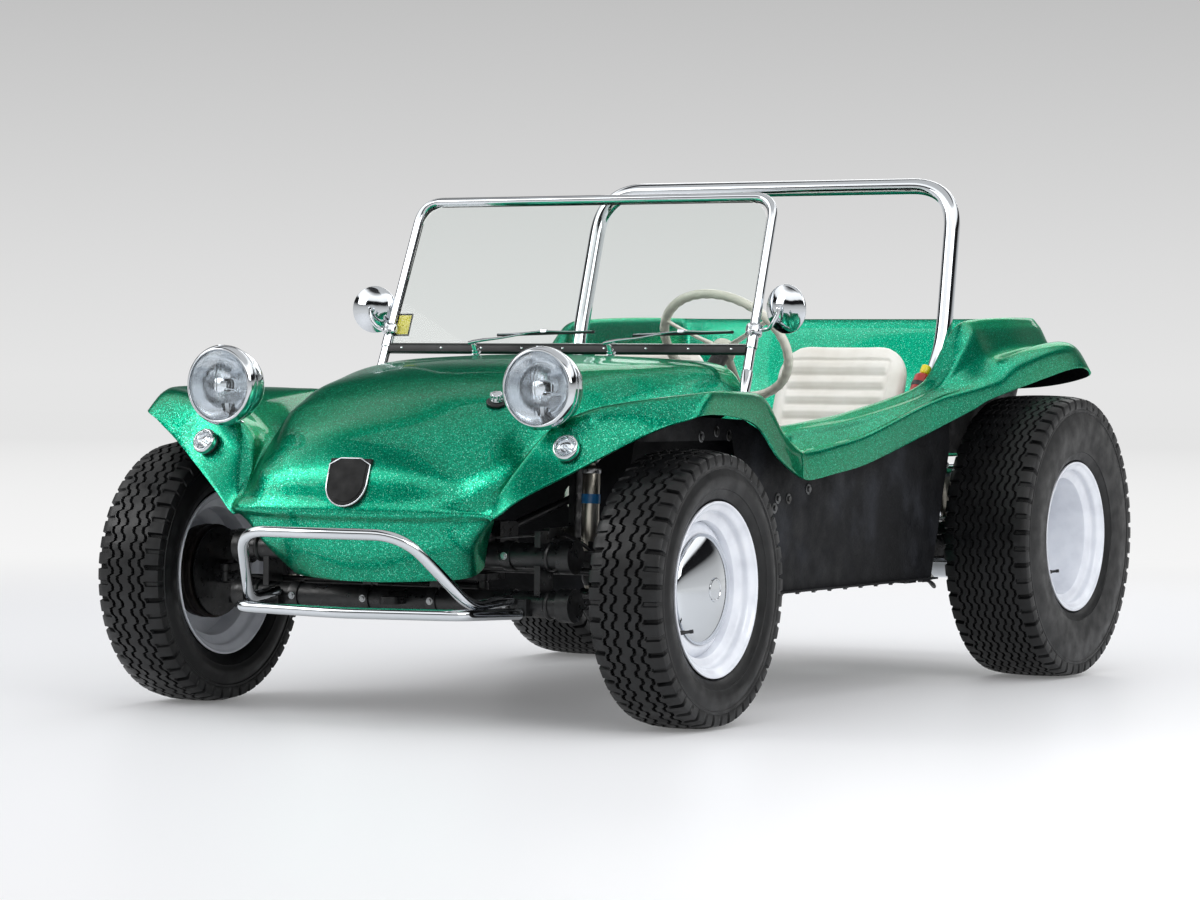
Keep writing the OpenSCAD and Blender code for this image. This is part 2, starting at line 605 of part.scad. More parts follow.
module fire_bottle() {
    leg_dir = unit(hoop_points[2] - hoop_points[1]);
    off = hoop_d / 2 + bottle_r + 2 * seat_gap;
    base = r(hoop_points[1]) + 60 * leg_dir + off * unit(cross([1, 0, 0], leg_dir));
    color("red") {
        rod(base, base + 150 * leg_dir, bottle_r);
        rod(base + 150 * leg_dir, base + 176 * leg_dir, bottle_r * 0.6);
    }
}

// ---------------------------------------------------------------- front axle
pin_r = 10;
eye_gap = 1;
post_r = 20;
module front_beam() {
    color("black") {
        for (z = [beam_zu, beam_zl])
            translate([-beam_half, front_y + beam_y, z]) rotate([0, 90, 0])
                cylinder(r = beam_r, h = 2 * beam_half);
        both_sides() {
            // the tower that joins the tubes and carries the top of the shock absorber
            translate([tower_x, front_y + beam_y - 22, beam_zl]) cube([16, 62, beam_zu - beam_zl + 60]);
            translate([tower_x, front_y + beam_y + 20, beam_zu + 40]) cube([16, 175, 26]);
            translate([tower_x, front_y - 12, beam_zu + 40]) cube([16, 40, 205]);
            translate([beam_half + 10, front_y - 24, beam_zl - 12]) cube([26, 44, 46]);
            // the trailing arms and the eyes that hold the kingpin
            difference() {
                union() {
                    for (z = [beam_zl, beam_zu]) {
                        translate([beam_half, front_y + beam_y, z]) rotate([0, 90, 0]) cylinder(r = 40, h = 36);
                        translate([beam_half + 10, front_y + beam_y, z - 12]) cube([26, 130, 24]);
                    }
                    for (z = [beam_zl - 34, beam_zu + 18]) {
                        translate([beam_half + 10, front_y - 46, z])
                            cube([kingpin_half - beam_half - 4, 46, 16]);
                        translate([kingpin_half, front_y, z]) cylinder(r = 26, h = 16);
                    }
                    translate([beam_half + 10, front_y - 46, beam_zl - 34]) cube([26, 26, 40]);
                    translate([beam_half + 10, front_y - 46, beam_zu - 12]) cube([26, 26, 40]);
                }
                translate([kingpin_half, front_y, beam_zl - 40])
                    cylinder(r = pin_r + pin_gap, h = beam_zu - beam_zl + 90);
            }
            // brackets for the bumper
            translate([bracket_x, front_y + beam_y - 47.3, beam_zl - 26]) cube([40, 34, 40]);
        }
    }
}
// A flat lug on the middle of the lower tube, with an upright bore for a shackle pin
module towing_eye() {
    lug = 18;
    reach = 60;
    color("black") difference() {
        union() {
            translate([-25, front_y + beam_y - reach, beam_zl - lug / 2]) cube([50, reach - 10, lug]);
            translate([0, front_y + beam_y - reach, beam_zl - lug / 2]) cylinder(r = 25, h = lug);
        }
        translate([0, front_y + beam_y - reach, beam_zl - lug]) cylinder(r = eye_r, h = 2 * lug);
        translate([-30, front_y + beam_y, beam_zl]) rotate([0, 90, 0]) cylinder(r = beam_r + seat_gap, h = 60);
    }
}
shock_x = tower_x + 48;
shock_top = beam_zu + 232;
shock_foot = beam_zl + 22;
module front_shocks() {
    color("gold") both_sides() {
        rod(f([shock_x, 2, shock_foot]), f([shock_x, 8, beam_zu + 30]), 9);
        rod(f([shock_x, 8, beam_zu + 25]), f([shock_x, 14, shock_top - 27]), 22);
        rod(f([shock_x, 14, shock_top - 27]), f([shock_x, 15, shock_top]), 9);
        translate(f([tower_x + 16 + seat_gap, 15, shock_top])) rotate([0, 90, 0]) cylinder(r = 15, h = 48);
        translate(f([shock_x - 16, 2, shock_foot])) rotate([0, 90, 0])
            cylinder(r = 15, h = beam_half + 10 - seat_gap - shock_x + 16);
    }
}
// The kingpin, post, spindle and steering arm of the left wheel; pin_up is the side of the arm
// that the tie rod lies on
module knuckle() {
    color("black") {
        difference() {
            union() {
                translate([kingpin_half, front_y, beam_zl - 18 + eye_gap])
                    cylinder(r = post_r, h = beam_zu - beam_zl + 36 - 2 * eye_gap);
                translate([kingpin_half, front_y, beam_zl - 36]) cylinder(r = pin_r, h = beam_zu - beam_zl + 72);
                translate([kingpin_half, front_y, front_z]) rotate([0, 90, 0])
                    cylinder(r = spindle_r, h = front_disc_x + 16 - kingpin_half);
                translate([front_plate_x - 30, front_y, front_z]) rotate([0, 90, 0]) cylinder(r = 30, h = 31);
                translate([front_plate_x, front_y, front_z]) rotate([0, 90, 0]) cylinder(r = 112, h = panel_t);
                hull() {
                    translate([kingpin_half, front_y, arm_z - 8]) cylinder(r = 14, h = 16, $fn = 32);
                    translate([kingpin_half - 20, front_y - steer_arm, arm_z - 8])
                        cylinder(r = 14, h = 16, $fn = 32);
                }
            }
            translate([kingpin_half - 20, front_y - steer_arm, arm_z - 10]) cylinder(r = 6 + pin_gap, h = 20);
        }
    }
}
module knuckle_left() {
    knuckle();
}
module knuckle_right() {
    mirror([1, 0, 0]) knuckle();
}
module pitman_arm() {
    color("black") {
        difference() {
            hull() {
                translate([box_x, front_y, arm_z - 8]) cylinder(r = 20, h = 16, $fn = 32);
                for (x = [-20, 20])
                    translate([box_x + x, front_y - steer_arm, arm_z - 8]) cylinder(r = 14, h = 16, $fn = 32);
            }
            for (x = [-20, 20])
                translate([box_x + x, front_y - steer_arm, arm_z - 10]) cylinder(r = 6 + pin_gap, h = 20);
        }
        translate([box_x, front_y, arm_z]) cylinder(r = 12, h = 60.5);
    }
}
// A rod between two eyes above or below the arms; each end has a pin that stands in its eye
module tie_rod(from_x, to_x, up) {
    y = front_y - steer_arm;
    z = arm_z + up * 22;
    color("black") {
        translate([from_x, y, z]) rotate([0, 90, 0]) cylinder(r = 9, h = to_x - from_x);
        for (x = [from_x, to_x]) {
            translate([x, y, z]) cylinder(r = 13, h = 24, center = true);
            translate([x, y, arm_z + up * 3]) cylinder(r = 6, h = 16, center = true);
        }
    }
}
module tie_rod_left() {
    tie_rod(box_x - 20, kingpin_half - 20, 1);
}
module tie_rod_right() {
    tie_rod(-kingpin_half + 20, box_x + 20, -1);
}

// ---------------------------------------------------------------- rear axle and engine
bearing_x = 540;
torsion_r = 44;
engine_y = 150;
module transaxle() {
    color("black") {
        // the gearbox and its nose, ahead of the axle
        translate(r([0, -330, rear_z])) rotate([-90, 0, 0]) cylinder(r1 = 62, r2 = 105, h = 230);
        translate(r([0, -100, rear_z])) rotate([-90, 0, 0]) cylinder(r = 122, h = 150);
        translate(r([0, 50, rear_z])) rotate([-90, 0, 0])
            cylinder(r1 = 140, r2 = 165, h = engine_y - 50 - seat_gap);
        // the axle tubes and brake backing plates
        translate([-bearing_x, rear_y, rear_z]) rotate([0, 90, 0]) cylinder(r = 34, h = 2 * bearing_x);
        // the torsion housing across the pan
        translate([-470, front_y + pan_end + torsion_r + seat_gap, rear_z - 30]) rotate([0, 90, 0])
            cylinder(r = torsion_r, h = 940);
        both_sides() {
            translate([bearing_x - 10, rear_y, rear_z]) rotate([0, 90, 0])
                cylinder(r = 56, h = rear_plate_x - bearing_x + 10);
            translate([rear_plate_x, rear_y, rear_z]) rotate([0, 90, 0]) cylinder(r = 112, h = panel_t);
            translate([bearing_x, rear_y, rear_z]) rotate([0, 90, 0])
                cylinder(r = shaft_r, h = rear_disc_x + 16 - bearing_x);
            // spring plate, frame horn and the tower for the shock absorber
            translate([462, rear_y - 400, rear_z - 60]) cube([12, 480, 60]);
            translate([horn_x - 9, rear_y - 400, 431]) cube([18, 400 + horn_end, 30]);
            translate([horn_x - 9, rear_y - 400, rear_z]) cube([18, 40, 60]);
            translate([horn_x + 9, rear_y - 60, 431]) cube([12, 60, 175]);
        }
    }
}
rear_shock_x = 436;
module rear_shocks() {
    color("gold") both_sides() {
        rod(r([rear_shock_x, 62, rear_z - 36]), r([rear_shock_x, 30, 450]), 10);
        rod(r([rear_shock_x, 32, 445]), r([rear_shock_x, -25, 570]), 26);
        rod(r([rear_shock_x, -25, 570]), r([rear_shock_x, -30, 585]), 10);
        translate(r([horn_x + 21 + seat_gap, -30, 585])) rotate([0, 90, 0]) cylinder(r = 15, h = 54);
        translate(r([462 - seat_gap - 40, 62, rear_z - 36])) rotate([0, 90, 0]) cylinder(r = 16, h = 40);
    }
}
// A flexible hose on each side, from under the pan to the spring plate
hose_points = [
    [584, 1556, 280.4], [584, 1590, 279], [578, 1640, 266], [560, 1682, 258], [530, 1712, 274],
    [500, 1726, 312], [481, 1736, 345], [481, 1764, 352]
];
module brake_hoses() {
    color("black") both_sides() tube(smooth([for (p = hose_points) f(p)], 3), 10, [0.3, 0, 1], 10);
}
crank_z = rear_z + 10;
module engine() {
    color("dimgray") {
        translate(r([-110, engine_y, crank_z - 120])) cube([220, 360, 230]);
        both_sides() {
            translate(r([110, engine_y + 20, crank_z - 48])) cube([200, 150, 120]);
            translate(r([110, engine_y + 185, crank_z - 48])) cube([200, 150, 120]);
            translate(r([310, engine_y + 10, crank_z - 60])) cube([44, 335, 140]);
        }
        // the fan housing across the top, with the fan's round case in its middle
        translate(r([-290, engine_y + 120, crank_z + 70])) cube([580, 110, 180]);
        translate(r([0, engine_y + 120, crank_z + 210])) rotate([-90, 0, 0]) cylinder(r = 150, h = 110);
        translate(r([0, engine_y + 228, crank_z + 210])) rotate([-90, 0, 0]) cylinder(r = 54, h = 160);
        translate(r([-40, engine_y + 240, crank_z + 100])) cube([80, 110, 70]);
        translate(r([0, engine_y + 356, crank_z])) rotate([-90, 0, 0]) cylinder(r = 87, h = 24);
    }
}
muffler_half = 260;
module exhaust() {
    y0 = engine_y + 400;
    color("silver") {
        translate(r([-muffler_half, y0 + 40, crank_z - 120])) rotate([0, 90, 0])
            cylinder(r = 50, h = 2 * muffler_half);
        both_sides() tube(bend([
            r([332, engine_y + 260, crank_z - 62]), r([332, engine_y + 270, crank_z - 150]),
            r([332, y0 + 40, crank_z - 120]), r([muffler_half + seat_gap, y0 + 40, crank_z - 120])
        ], 32), 38, [0.6, 0.3, 0.5]);
    }
}

// ---------------------------------------------------------------- wheels
bead_r = rim_d / 2 - 16;
// The tyre's outline; x is radius, y outward from the middle of the tyre
function tyre_outline(d, w, rim_w) = let (o = d / 2, h = w / 2, b = rim_w / 2 - 13 - seat_gap) [
    [bead_r, b], [rim_d / 2 + seat_gap, b], [rim_d / 2 + 5, b + 9], [(o + bead_r) / 2, h],
    [o - 32, h - 3], [o - 14, h - 6], [o - 6, h - 14], [o, h * 0.7],
    [o, -h * 0.7], [o - 6, -h + 14], [o - 14, -h + 6], [o - 32, -h + 3],
    [(o + bead_r) / 2, -h], [rim_d / 2 + 5, -b - 9], [rim_d / 2 + seat_gap, -b], [bead_r, -b],
    [bead_r, -b + 14], [(o + bead_r) / 2, -h + 14], [o - 26, -h * 0.7], [o - 26, h * 0.7], [(o + bead_r) / 2, h - 14],
    [bead_r, b - 14]
];
module tyre(d, w, rim_w) {
    color("black") lathe_x(tyre_outline(d, w, rim_w));
}
// The rim: flanges, bead seats and drop centre, then the disc that stands disc_u from the middle
// and bolts to the drum
module rim(rim_w, disc_u, bore) {
    b = rim_w / 2;
    s = bead_r - seat_gap;
    lip = rim_d / 2;
    color("white") {
        lathe_x([
            [lip, b], [lip, b - 10], [s, b - 13], [s, b - 34], [s - 24, b - 42], [s - 24, -b + 42],
            [s, -b + 34], [s, -b + 13], [lip, -b + 10], [lip, -b], [lip - 6, -b], [s - 7, -b + 12],
            [s - 7, -b + 32], [s - 31, -b + 40], [s - 31, b - 40], [s - 7, b - 32], [s - 7, b - 12], [lip - 6, b]
        ]);
        difference() {
            lathe_x([[70, disc_u], [70, disc_u + 5], [112, disc_u + 5], [128, disc_u + 24], [144, disc_u + 20],
                     [s - 29, disc_u + 2], [s - 29, disc_u - 3], [142, disc_u + 14], [128, disc_u + 18],
                     [114, disc_u]]);
            for (a = [0:72:288]) rotate([a, 0, 0]) translate([disc_u - 1, 0, 102.5]) rotate([0, 90, 0])
                cylinder(r = 7, h = 7);
        }
        // the brake drum and hub that turn on the spindle
        translate([disc_u, 0, 0]) lathe_x([
            [bore, -46], [32, -46], [32, -8], [110, -8], [110, -drum_depth], [118, -drum_depth], [118, 0],
            [40, 0], [40, 22], [bore, 22]
        ]);
    }
}
module cap(disc_u, rad, rise, foot) {
    color("silver") lathe_x([
        [0, disc_u + foot + rise], [rad * 0.45, disc_u + foot + rise * 0.9], [rad * 0.8, disc_u + foot + rise * 0.6],
        [rad * 0.95, disc_u + foot + rise * 0.25], [rad, disc_u + foot], [rad - 4, disc_u + foot],
        [rad * 0.9, disc_u + foot + rise * 0.22], [rad * 0.76, disc_u + foot + rise * 0.5],
        [rad * 0.43, disc_u + foot + rise * 0.8], [0, disc_u + foot + rise * 0.88]
    ]);
}
module tyre_front() {
    tyre(front_tyre_d, front_tyre_w, front_rim_w);
}
module tyre_rear() {
    tyre(rear_tyre_d, rear_tyre_w, rear_rim_w);
}
module rim_front() {
    rim(front_rim_w, front_disc_x - front_track_half, spindle_r + pin_gap);
}
module rim_rear() {
    rim(rear_rim_w, rear_disc_x - rear_track_half, shaft_r + pin_gap);
}
module cap_front() {
    cap(front_disc_x - front_track_half, front_cap_d / 2, 40, 24 + seat_gap);
}
module cap_rear() {
    cap(rear_disc_x - rear_track_half, rear_cap_d / 2, 34, 5 + seat_gap);
}
// Puts a left wheel's piece on its axle, or its mirror image on the other side
module front_place(side = 1) {
    mirror([side < 0 ? 1 : 0, 0, 0]) translate([front_track_half, front_y, front_z]) children();
}
module rear_place(side = 1) {
    mirror([side < 0 ? 1 : 0, 0, 0]) translate([rear_track_half, rear_y, rear_z]) children();
}

floor_pan();
front_body();
rear_body();
side_panels();
firewall();
cargo_floor();
dashboard();
windscreen_frame();
windscreen_glass();
windscreen_seal();
roll_hoop();
front_bumper();
rear_bumper();
headlamps();
turn_signals();
tail_lamps();
mirrors();
wipers();
seat_left();
seat_right();
steering_wheel();
steering_column();
floor_levers();
fuel_cap();
fire_bottle();
front_beam();
towing_eye();
front_shocks();
knuckle_left();
knuckle_right();
pitman_arm();
tie_rod_left();
tie_rod_right();
transaxle();
rear_shocks();
brake_hoses();
engine();
exhaust();
front_place() tyre_front();  // tyre_front_left
front_place() rim_front();  // rim_front_left
front_place() cap_front();  // cap_front_left
front_place(-1) tyre_front();  // tyre_front_right
front_place(-1) rim_front();  // rim_front_right
front_place(-1) cap_front();  // cap_front_right
rear_place() tyre_rear();  // tyre_rear_left
rear_place() rim_rear();  // rim_rear_left
rear_place() cap_rear();  // cap_rear_left
rear_place(-1) tyre_rear();  // tyre_rear_right
rear_place(-1) rim_rear();  // rim_rear_right
rear_place(-1) cap_rear();  // cap_rear_right
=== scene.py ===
"""Dune buggy: the looks of every piece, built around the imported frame.

Sizes are in millimetres until a piece is finished, and the frame is in metres.
+Z is up, the car faces -Y and its left side is +X.
"""

import logging
import math
from dataclasses import dataclass, field
from enum import Enum
from typing import Any, Sequence

import bmesh
import bpy
import numpy as np
from mathutils import Matrix, Vector


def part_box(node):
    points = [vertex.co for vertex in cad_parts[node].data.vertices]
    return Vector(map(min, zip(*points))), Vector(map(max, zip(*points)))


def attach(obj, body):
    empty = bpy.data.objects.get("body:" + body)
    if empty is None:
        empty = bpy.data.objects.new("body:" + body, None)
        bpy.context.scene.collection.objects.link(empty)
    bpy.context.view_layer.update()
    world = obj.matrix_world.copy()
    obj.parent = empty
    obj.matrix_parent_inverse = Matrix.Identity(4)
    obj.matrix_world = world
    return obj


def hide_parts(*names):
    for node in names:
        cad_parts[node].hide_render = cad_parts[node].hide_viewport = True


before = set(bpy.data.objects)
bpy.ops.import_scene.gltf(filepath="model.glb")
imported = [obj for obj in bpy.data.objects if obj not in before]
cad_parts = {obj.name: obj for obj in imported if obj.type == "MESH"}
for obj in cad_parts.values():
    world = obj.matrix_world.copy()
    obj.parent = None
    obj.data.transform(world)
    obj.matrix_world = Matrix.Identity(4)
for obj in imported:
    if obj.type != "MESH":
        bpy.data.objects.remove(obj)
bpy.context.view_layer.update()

log = logging.getLogger("dune_buggy")
MM = 0.001


def axle(tyre: str) -> tuple[float, float, float]:
    """Middle of a tyre in millimetres, taken from its packed box."""
    low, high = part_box(tyre)
    return tuple((low + high) / 2 / MM)


FRONT_X, FRONT_Y, FRONT_Z = axle("tyre_front_left")
REAR_X, REAR_Y, REAR_Z = axle("tyre_rear_left")
PAN_BOTTOM = 286.0
PAN_TOP = PAN_BOTTOM + 5.0
BEHIND_SEATS = REAR_Y - 440.0
TUNNEL_TOP = PAN_TOP + 150.0
FAN_UP = 210.0
QUARTER = math.pi / 2
CLEAR = 0.6
HOOP_D = 44.5
# The hoop's post behind the rear axle: where it leaves the upright, and where it turns up again.
HOOP_BEND = (536, -477, 630)
HOOP_KNEE = (571, -345, 900)


class Side(Enum):
    """Which side of the car a piece is on."""
    LEFT = 1
    RIGHT = -1

    @property
    def label(self) -> str:
        """The side's name as the nodes spell it."""
        return self.name.lower()


class Slot(Enum):
    """The record's material slots."""
    GELCOAT = "body_gelcoat"
    UNDERCOAT = "rough_black"
    BLACK = "black_paint"
    CHROME = "chrome"
    WHEEL = "wheel_paint"
    TYRE = "tyre_rubber"
    SEAL = "seal_rubber"
    SCREEN = "screen_glass"
    LAMP = "lamp_glass"
    VINYL = "seat_vinyl"
    BAKELITE = "wheel_plastic"
    SHOCK = "shock_metal"
    ENGINE = "engine_metal"
    RED = "red_paint"
    LENS = "red_lens"


# ------------------------------------------------------------------ shape helpers
def front(x: float, y: float, z: float) -> np.ndarray:
    """A point given behind the front axle, in the car's own frame."""
    return np.array([x, y + FRONT_Y, z], float)


def rear(x: float, y: float, z: float) -> np.ndarray:
    """A point given behind the rear axle, in the car's own frame."""
    return np.array([x, y + REAR_Y, z], float)


def flip(points: Any) -> np.ndarray:
    """The mirror image of points on the other side of the car."""
    return np.asarray(points, float) * [-1, 1, 1]


def catmull(points: Any, steps: int, before: Any = None, after: Any = None) -> np.ndarray:
    """A smooth curve through points, or a smooth surface through rows of points.

    Args:
        points: Points or rows along the first axis.
        steps: Stretches between one point and the next.
        before: The point or row that would come before the first, if any.
        after: The point or row that would come after the last, if any.

    Returns:
        The curve's points, with the given ones among them.
    """
    p = np.asarray(points, float)
    q = np.concatenate([[p[0] if before is None else before], p,
                        [p[-1] if after is None else after]])
    a, b, c, d = q[:-3], q[1:-2], q[2:-1], q[3:]
    spans = [0.5 * (2 * b + (c - a) * t + (2 * a - 5 * b + 4 * c - d) * t**2
                    + (3 * b - a - 3 * c + d) * t**3) for t in np.arange(steps) / steps]
    return np.concatenate([np.stack(spans, 1).reshape(-1, *p.shape[1:]), p[-1:]])


def across(row: Any, steps: int) -> np.ndarray:
    """One or more rows of a net, smoothed from side to side."""
    net = np.asarray(row, float)
    return np.swapaxes(catmull(np.swapaxes(net, 0, 1), steps), 0, 1)


def bent(path: Any, radius: Any, steps: int = 8) -> np.ndarray:
    """A path with its corners rounded as by a tube bender, with one radius or one each."""
    p = np.asarray(path, float)
    out = [p[0]]
    for here, prior, after, reach in zip(p[1:-1], p[:-2], p[2:],
            np.broadcast_to(radius, (len(p) - 2,))):
        a = here + (prior - here) * reach / np.linalg.norm(prior - here)
        b = here + (after - here) * reach / np.linalg.norm(after - here)
        out += [(1 - t)**2 * a + 2 * t * (1 - t) * here + t * t * b for t in np.linspace(0, 1,
                steps + 1)]
    return np.array(out + [p[-1]])


def softened(outline: Any, times: int = 2, closed: bool = True) -> np.ndarray:
    """An outline with its corners cut again and again until they are round."""
    p = np.asarray(outline, float)
    for _ in range(times):
        q = np.roll(p, -1, 0) if closed else p[1:]
        base = p if closed else p[:-1]
        cut = np.stack([base * 0.75 + q * 0.25, base * 0.25 + q * 0.75], 1).reshape(-1, p.shape[1])
        p = cut if closed else np.concatenate([p[:1], cut[1:-1], p[-1:]])
    return p


def whole_turn(steps: int) -> np.ndarray:
    """Angles evenly round a whole turn."""
    return np.linspace(0, 2 * math.pi, steps, endpoint=False)


def circle(radius: float, steps: int = 24) -> np.ndarray:
    """A round outline about the origin."""
    a = whole_turn(steps)
    return np.stack([radius * np.cos(a), radius * np.sin(a)], 1)


def arc(x: float, y: float, radius: float, start: float, end: float, steps: int) -> list:
    """Points along a part of a circle, between two angles in radians."""
    return [(x + radius * math.cos(a), y + radius * math.sin(a)) for a in np.linspace(start, end,
            steps)]


def two_sided(half: list) -> list:
    """A flat outline and its mirror image, as one run."""
    return half + [(-x, y) for x, y in half[::-1]]


def over(path: list) -> list:
    """A path that ends on the car's middle line, carried on to the other side."""
    return path + [flip(p) for p in path[-2::-1]]


def shift(x: float, y: float, z: float) -> Matrix:
    """The matrix that moves a piece."""
    return Matrix.Translation((x, y, z))


def spin(degrees: float, axis: str = "Z") -> Matrix:
    """The matrix that turns a piece about one of its own axes."""
    return Matrix.Rotation(math.radians(degrees), 4, axis)


def unit(way: Any) -> np.ndarray:
    """A direction of length one."""
    return way / np.linalg.norm(way)


def place(at: Any, toward: Any = (0, 0, 1), turn: float = 0.0) -> Matrix:
    """The matrix that stands a piece's own z axis along a direction.

    Args:
        at: Where the piece's origin goes.
        toward: The direction of its z axis.
        turn: Turn about that axis, in degrees.
    """
    z = Vector(toward).normalized()
    return Matrix.Translation(Vector(at)) @ z.to_track_quat("Z",
            "Y").to_matrix().to_4x4() @ spin(turn)


@dataclass
class Blank:
    """A piece while it is being made: points, faces and the finish of each face, in millimetres."""
    points: list = field(default_factory=list)
    faces: list = field(default_factory=list)
    finish: list = field(default_factory=list)
    count: int = 0

    def add(self, points: Any, faces: Sequence, finish: int = 0,
            at: Matrix | None = None) -> "Blank":
        """Adds points and faces, moved by a matrix if one is given.

        Args:
            points: Rows of x, y, z.
            faces: Tuples of point numbers, from 0.
            finish: Number of the material that the faces get.
            at: Where the shape goes.

        Returns:
            This blank.
        """
        p = np.asarray(points, float).reshape(-1, 3)
        if at is not None:
            m = np.array(at)
            p = p @ m[:3, :3].T + m[:3, 3]
        self.points.append(p)
        self.faces += [tuple(int(i) + self.count for i in f) for f in faces]
        self.finish += [finish] * len(faces)
        self.count += len(p)
        return self

    def grid(self, rows: np.ndarray, finish: int = 0, wrap: bool = False, around: bool = False,
             at: Matrix | None = None) -> "Blank":
        """Adds a skin over rows of points, whose columns or rows may close on themselves."""
        n, m = rows.shape[:2]
        i, j = np.meshgrid(np.arange(n if around else n - 1), np.arange(m if wrap else m - 1),
                           indexing="ij")
        i, j, i2, j2 = i.ravel(), j.ravel(), (i.ravel() + 1) % n, (j.ravel() + 1) % m
        quads = np.stack([i * m + j, i2 * m + j, i2 * m + j2, i * m + j2], 1)
        return self.add(rows.reshape(-1, 3), quads.tolist(), finish, at)

    def ends(self, rows: int, columns: int, finish: int = 0) -> "Blank":
        """Closes the first and the last row of the wrapped grid that was added last."""
        first, last = self.count - rows * columns, self.count - columns
        self.faces += [tuple(range(first + columns - 1, first - 1, -1)),
                       tuple(range(last, self.count))]
        self.finish += [finish] * 2
        return self

    def turned(self, outline: Any, steps: int = 64, finish: int = 0, closed: bool = False,
               at: Matrix | None = None) -> "Blank":
        """Turns an outline of (radius, height) about the z axis."""
        p = np.asarray(outline, float)
        a = whole_turn(steps)[:, None]
        ring = np.stack([p[:, 0] * np.cos(a), p[:, 0] * np.sin(a),
                         np.broadcast_to(p[:, 1], (steps, len(p)))], 2)
        return self.grid(ring, finish, closed, True, at)

    def ring(self, outline: Any, steps: int, finish: int, at: Matrix, times: int = 1) -> "Blank":
        """Turns a closed outline, whose corners are rounded first."""
        return self.turned(softened(outline, times), steps, finish, True, at)

    def drawn(self, outline: Any, low: float, high: float, finish: int = 0, round_by: float = 0.0,
              at: Matrix | None = None) -> "Blank":
        """A flat outline made thick from low to high, its edges eased by a small radius."""
        p = np.asarray(outline, float)
        q = np.roll(p, -1, 0) - np.roll(p, 1, 0)
        area = np.sum(p[:, 0] * np.roll(p[:, 1], -1) - np.roll(p[:, 0], -1) * p[:, 1])
        out = np.stack([q[:, 1], -q[:, 0]], 1) / (np.linalg.norm(q, axis=1)[:, None]
                + 1e-9) * math.copysign(1, area)
        r = round_by
        levels = [(-1.5 * r, low), (-r, low), (-0.3 * r, low + 0.3 * r), (0, low + r),
                  (0, high - r), (-0.3 * r, high - 0.3 * r), (-r, high), (-1.5 * r, high)]
        if r == 0:
            levels = [(0, low), (0, high)]
        rings = np.array([np.column_stack([p + out * k, np.full(len(p), z)]) for k, z in levels])
        return self.grid(rings, finish, True, at=at).ends(*rings.shape[:2], finish)

    def slab(self, low: Any, high: Any, ease: float = 2.0, finish: int = 0,
             at: Matrix | None = None) -> "Blank":
        """A block between two corners with eased edges."""
        a, b = np.asarray(low, float), np.asarray(high, float)
        e = min(ease, float(np.min(b - a)) * 0.45)
        outline = [(a[0] + e, a[1]), (b[0] - e, a[1]), (b[0], a[1] + e), (b[0], b[1] - e),
                   (b[0] - e, b[1]), (a[0] + e, b[1]), (a[0], b[1] - e), (a[0], a[1] + e)]
        return self.drawn(outline, a[2], b[2], finish, e * 0.8, at)

    def tube(self, path: Any, radius: Any, sides: int = 20, finish: int = 0, caps: bool = True,
             closed: bool = False, flat: float = 1.0) -> "Blank":
        """A round bar or tube along a path.

        Args:
            path: The middle line.
            radius: One radius, or one for each point.
            sides: Points round the tube.
            finish: Number of the material.
            caps: Whether the ends are closed.
            closed: Whether the path joins its own start.
            flat: Share of the height that a flattened bar keeps.
        """
        p = np.asarray(path, float)
        r = np.broadcast_to(np.asarray(radius, float), (len(p),))
        t = (np.roll(p, -1, 0) - np.roll(p, 1, 0)) if closed else np.gradient(p, axis=0)
        t /= np.linalg.norm(t, axis=1)[:, None]
        u = np.cross(t[0], [0, 0, 1] if abs(t[0][2]) < 0.9 else [0, 1, 0])
        a = whole_turn(sides)
        rings = []
        for here, way, size in zip(p, t, r):
            u = u - way * np.dot(u, way)
            u /= np.linalg.norm(u)
            v = np.cross(way, u)
            rings.append(here + size * (np.cos(a)[:, None] * u + flat * np.sin(a)[:, None] * v))
        self.grid(np.array(rings), finish, True, closed)
        if caps and not closed:
            self.ends(len(p), sides, finish)
        return self

    def bolt(self, at: Matrix, size: float = 8.0, finish: int = 0) -> "Blank":
        """A hexagon head on a washer; the matrix stands it on the face that it clamps."""
        hexagon = circle(size, 6)
        self.turned([(0.1, 0), (size * 1.45, 0), (size * 1.5, size * 0.12),
                     (size * 1.4, size * 0.22), (0.1, size * 0.22)], 20, finish, at=at)
        return self.drawn(hexagon, size * 0.2, size * 0.85, finish, size * 0.14, at)

    def both(self) -> "Blank":
        """Adds the mirror image of everything made so far."""
        whole = np.concatenate(self.points)
        marks = list(self.finish)
        self.add(flip(whole), [f[::-1] for f in self.faces], 0)
        self.finish = marks + marks
        return self

    def mesh(self, name: str, mend: bool = True) -> bpy.types.Mesh:
        """The points and faces as a mesh in metres, its faces turned outward if asked."""
        mesh = bpy.data.meshes.new(name)
        mesh.from_pydata((np.concatenate(self.points) * MM).tolist(), [], self.faces)
        mesh.polygons.foreach_set("material_index", self.finish)
        if mend:
            shape = bmesh.new()
            shape.from_mesh(mesh)
            bmesh.ops.recalc_face_normals(shape, faces=shape.faces)
            shape.to_mesh(mesh)
            shape.free()
        return mesh

    def piece(self, name: str, finishes: Sequence["Finish"], slot: Slot,
              replaces: Sequence[str] = (), body: str = "chassis", sharp: float = 38.0,
              mend: bool = True) -> bpy.types.Object:
        """Makes the mesh object, dresses it and hands it to the frame.

        Args:
            name: The piece's name.
            finishes: Its materials in order.
            slot: The record's material slot; not used.
            replaces: CAD nodes that it stands for.
            body: The frame's body that it rides on.
            sharp: Edges that turn by more than this many degrees stay crisp.
            mend: Whether faces are turned outward by the mesh tools.

        Returns:
            The finished object.
        """
        mesh = self.mesh(name, mend)
        mesh.shade_smooth()
        mesh.set_sharp_from_angle(angle=math.radians(sharp))
        return hand_over(linked(name, mesh), finishes, slot, replaces, body)


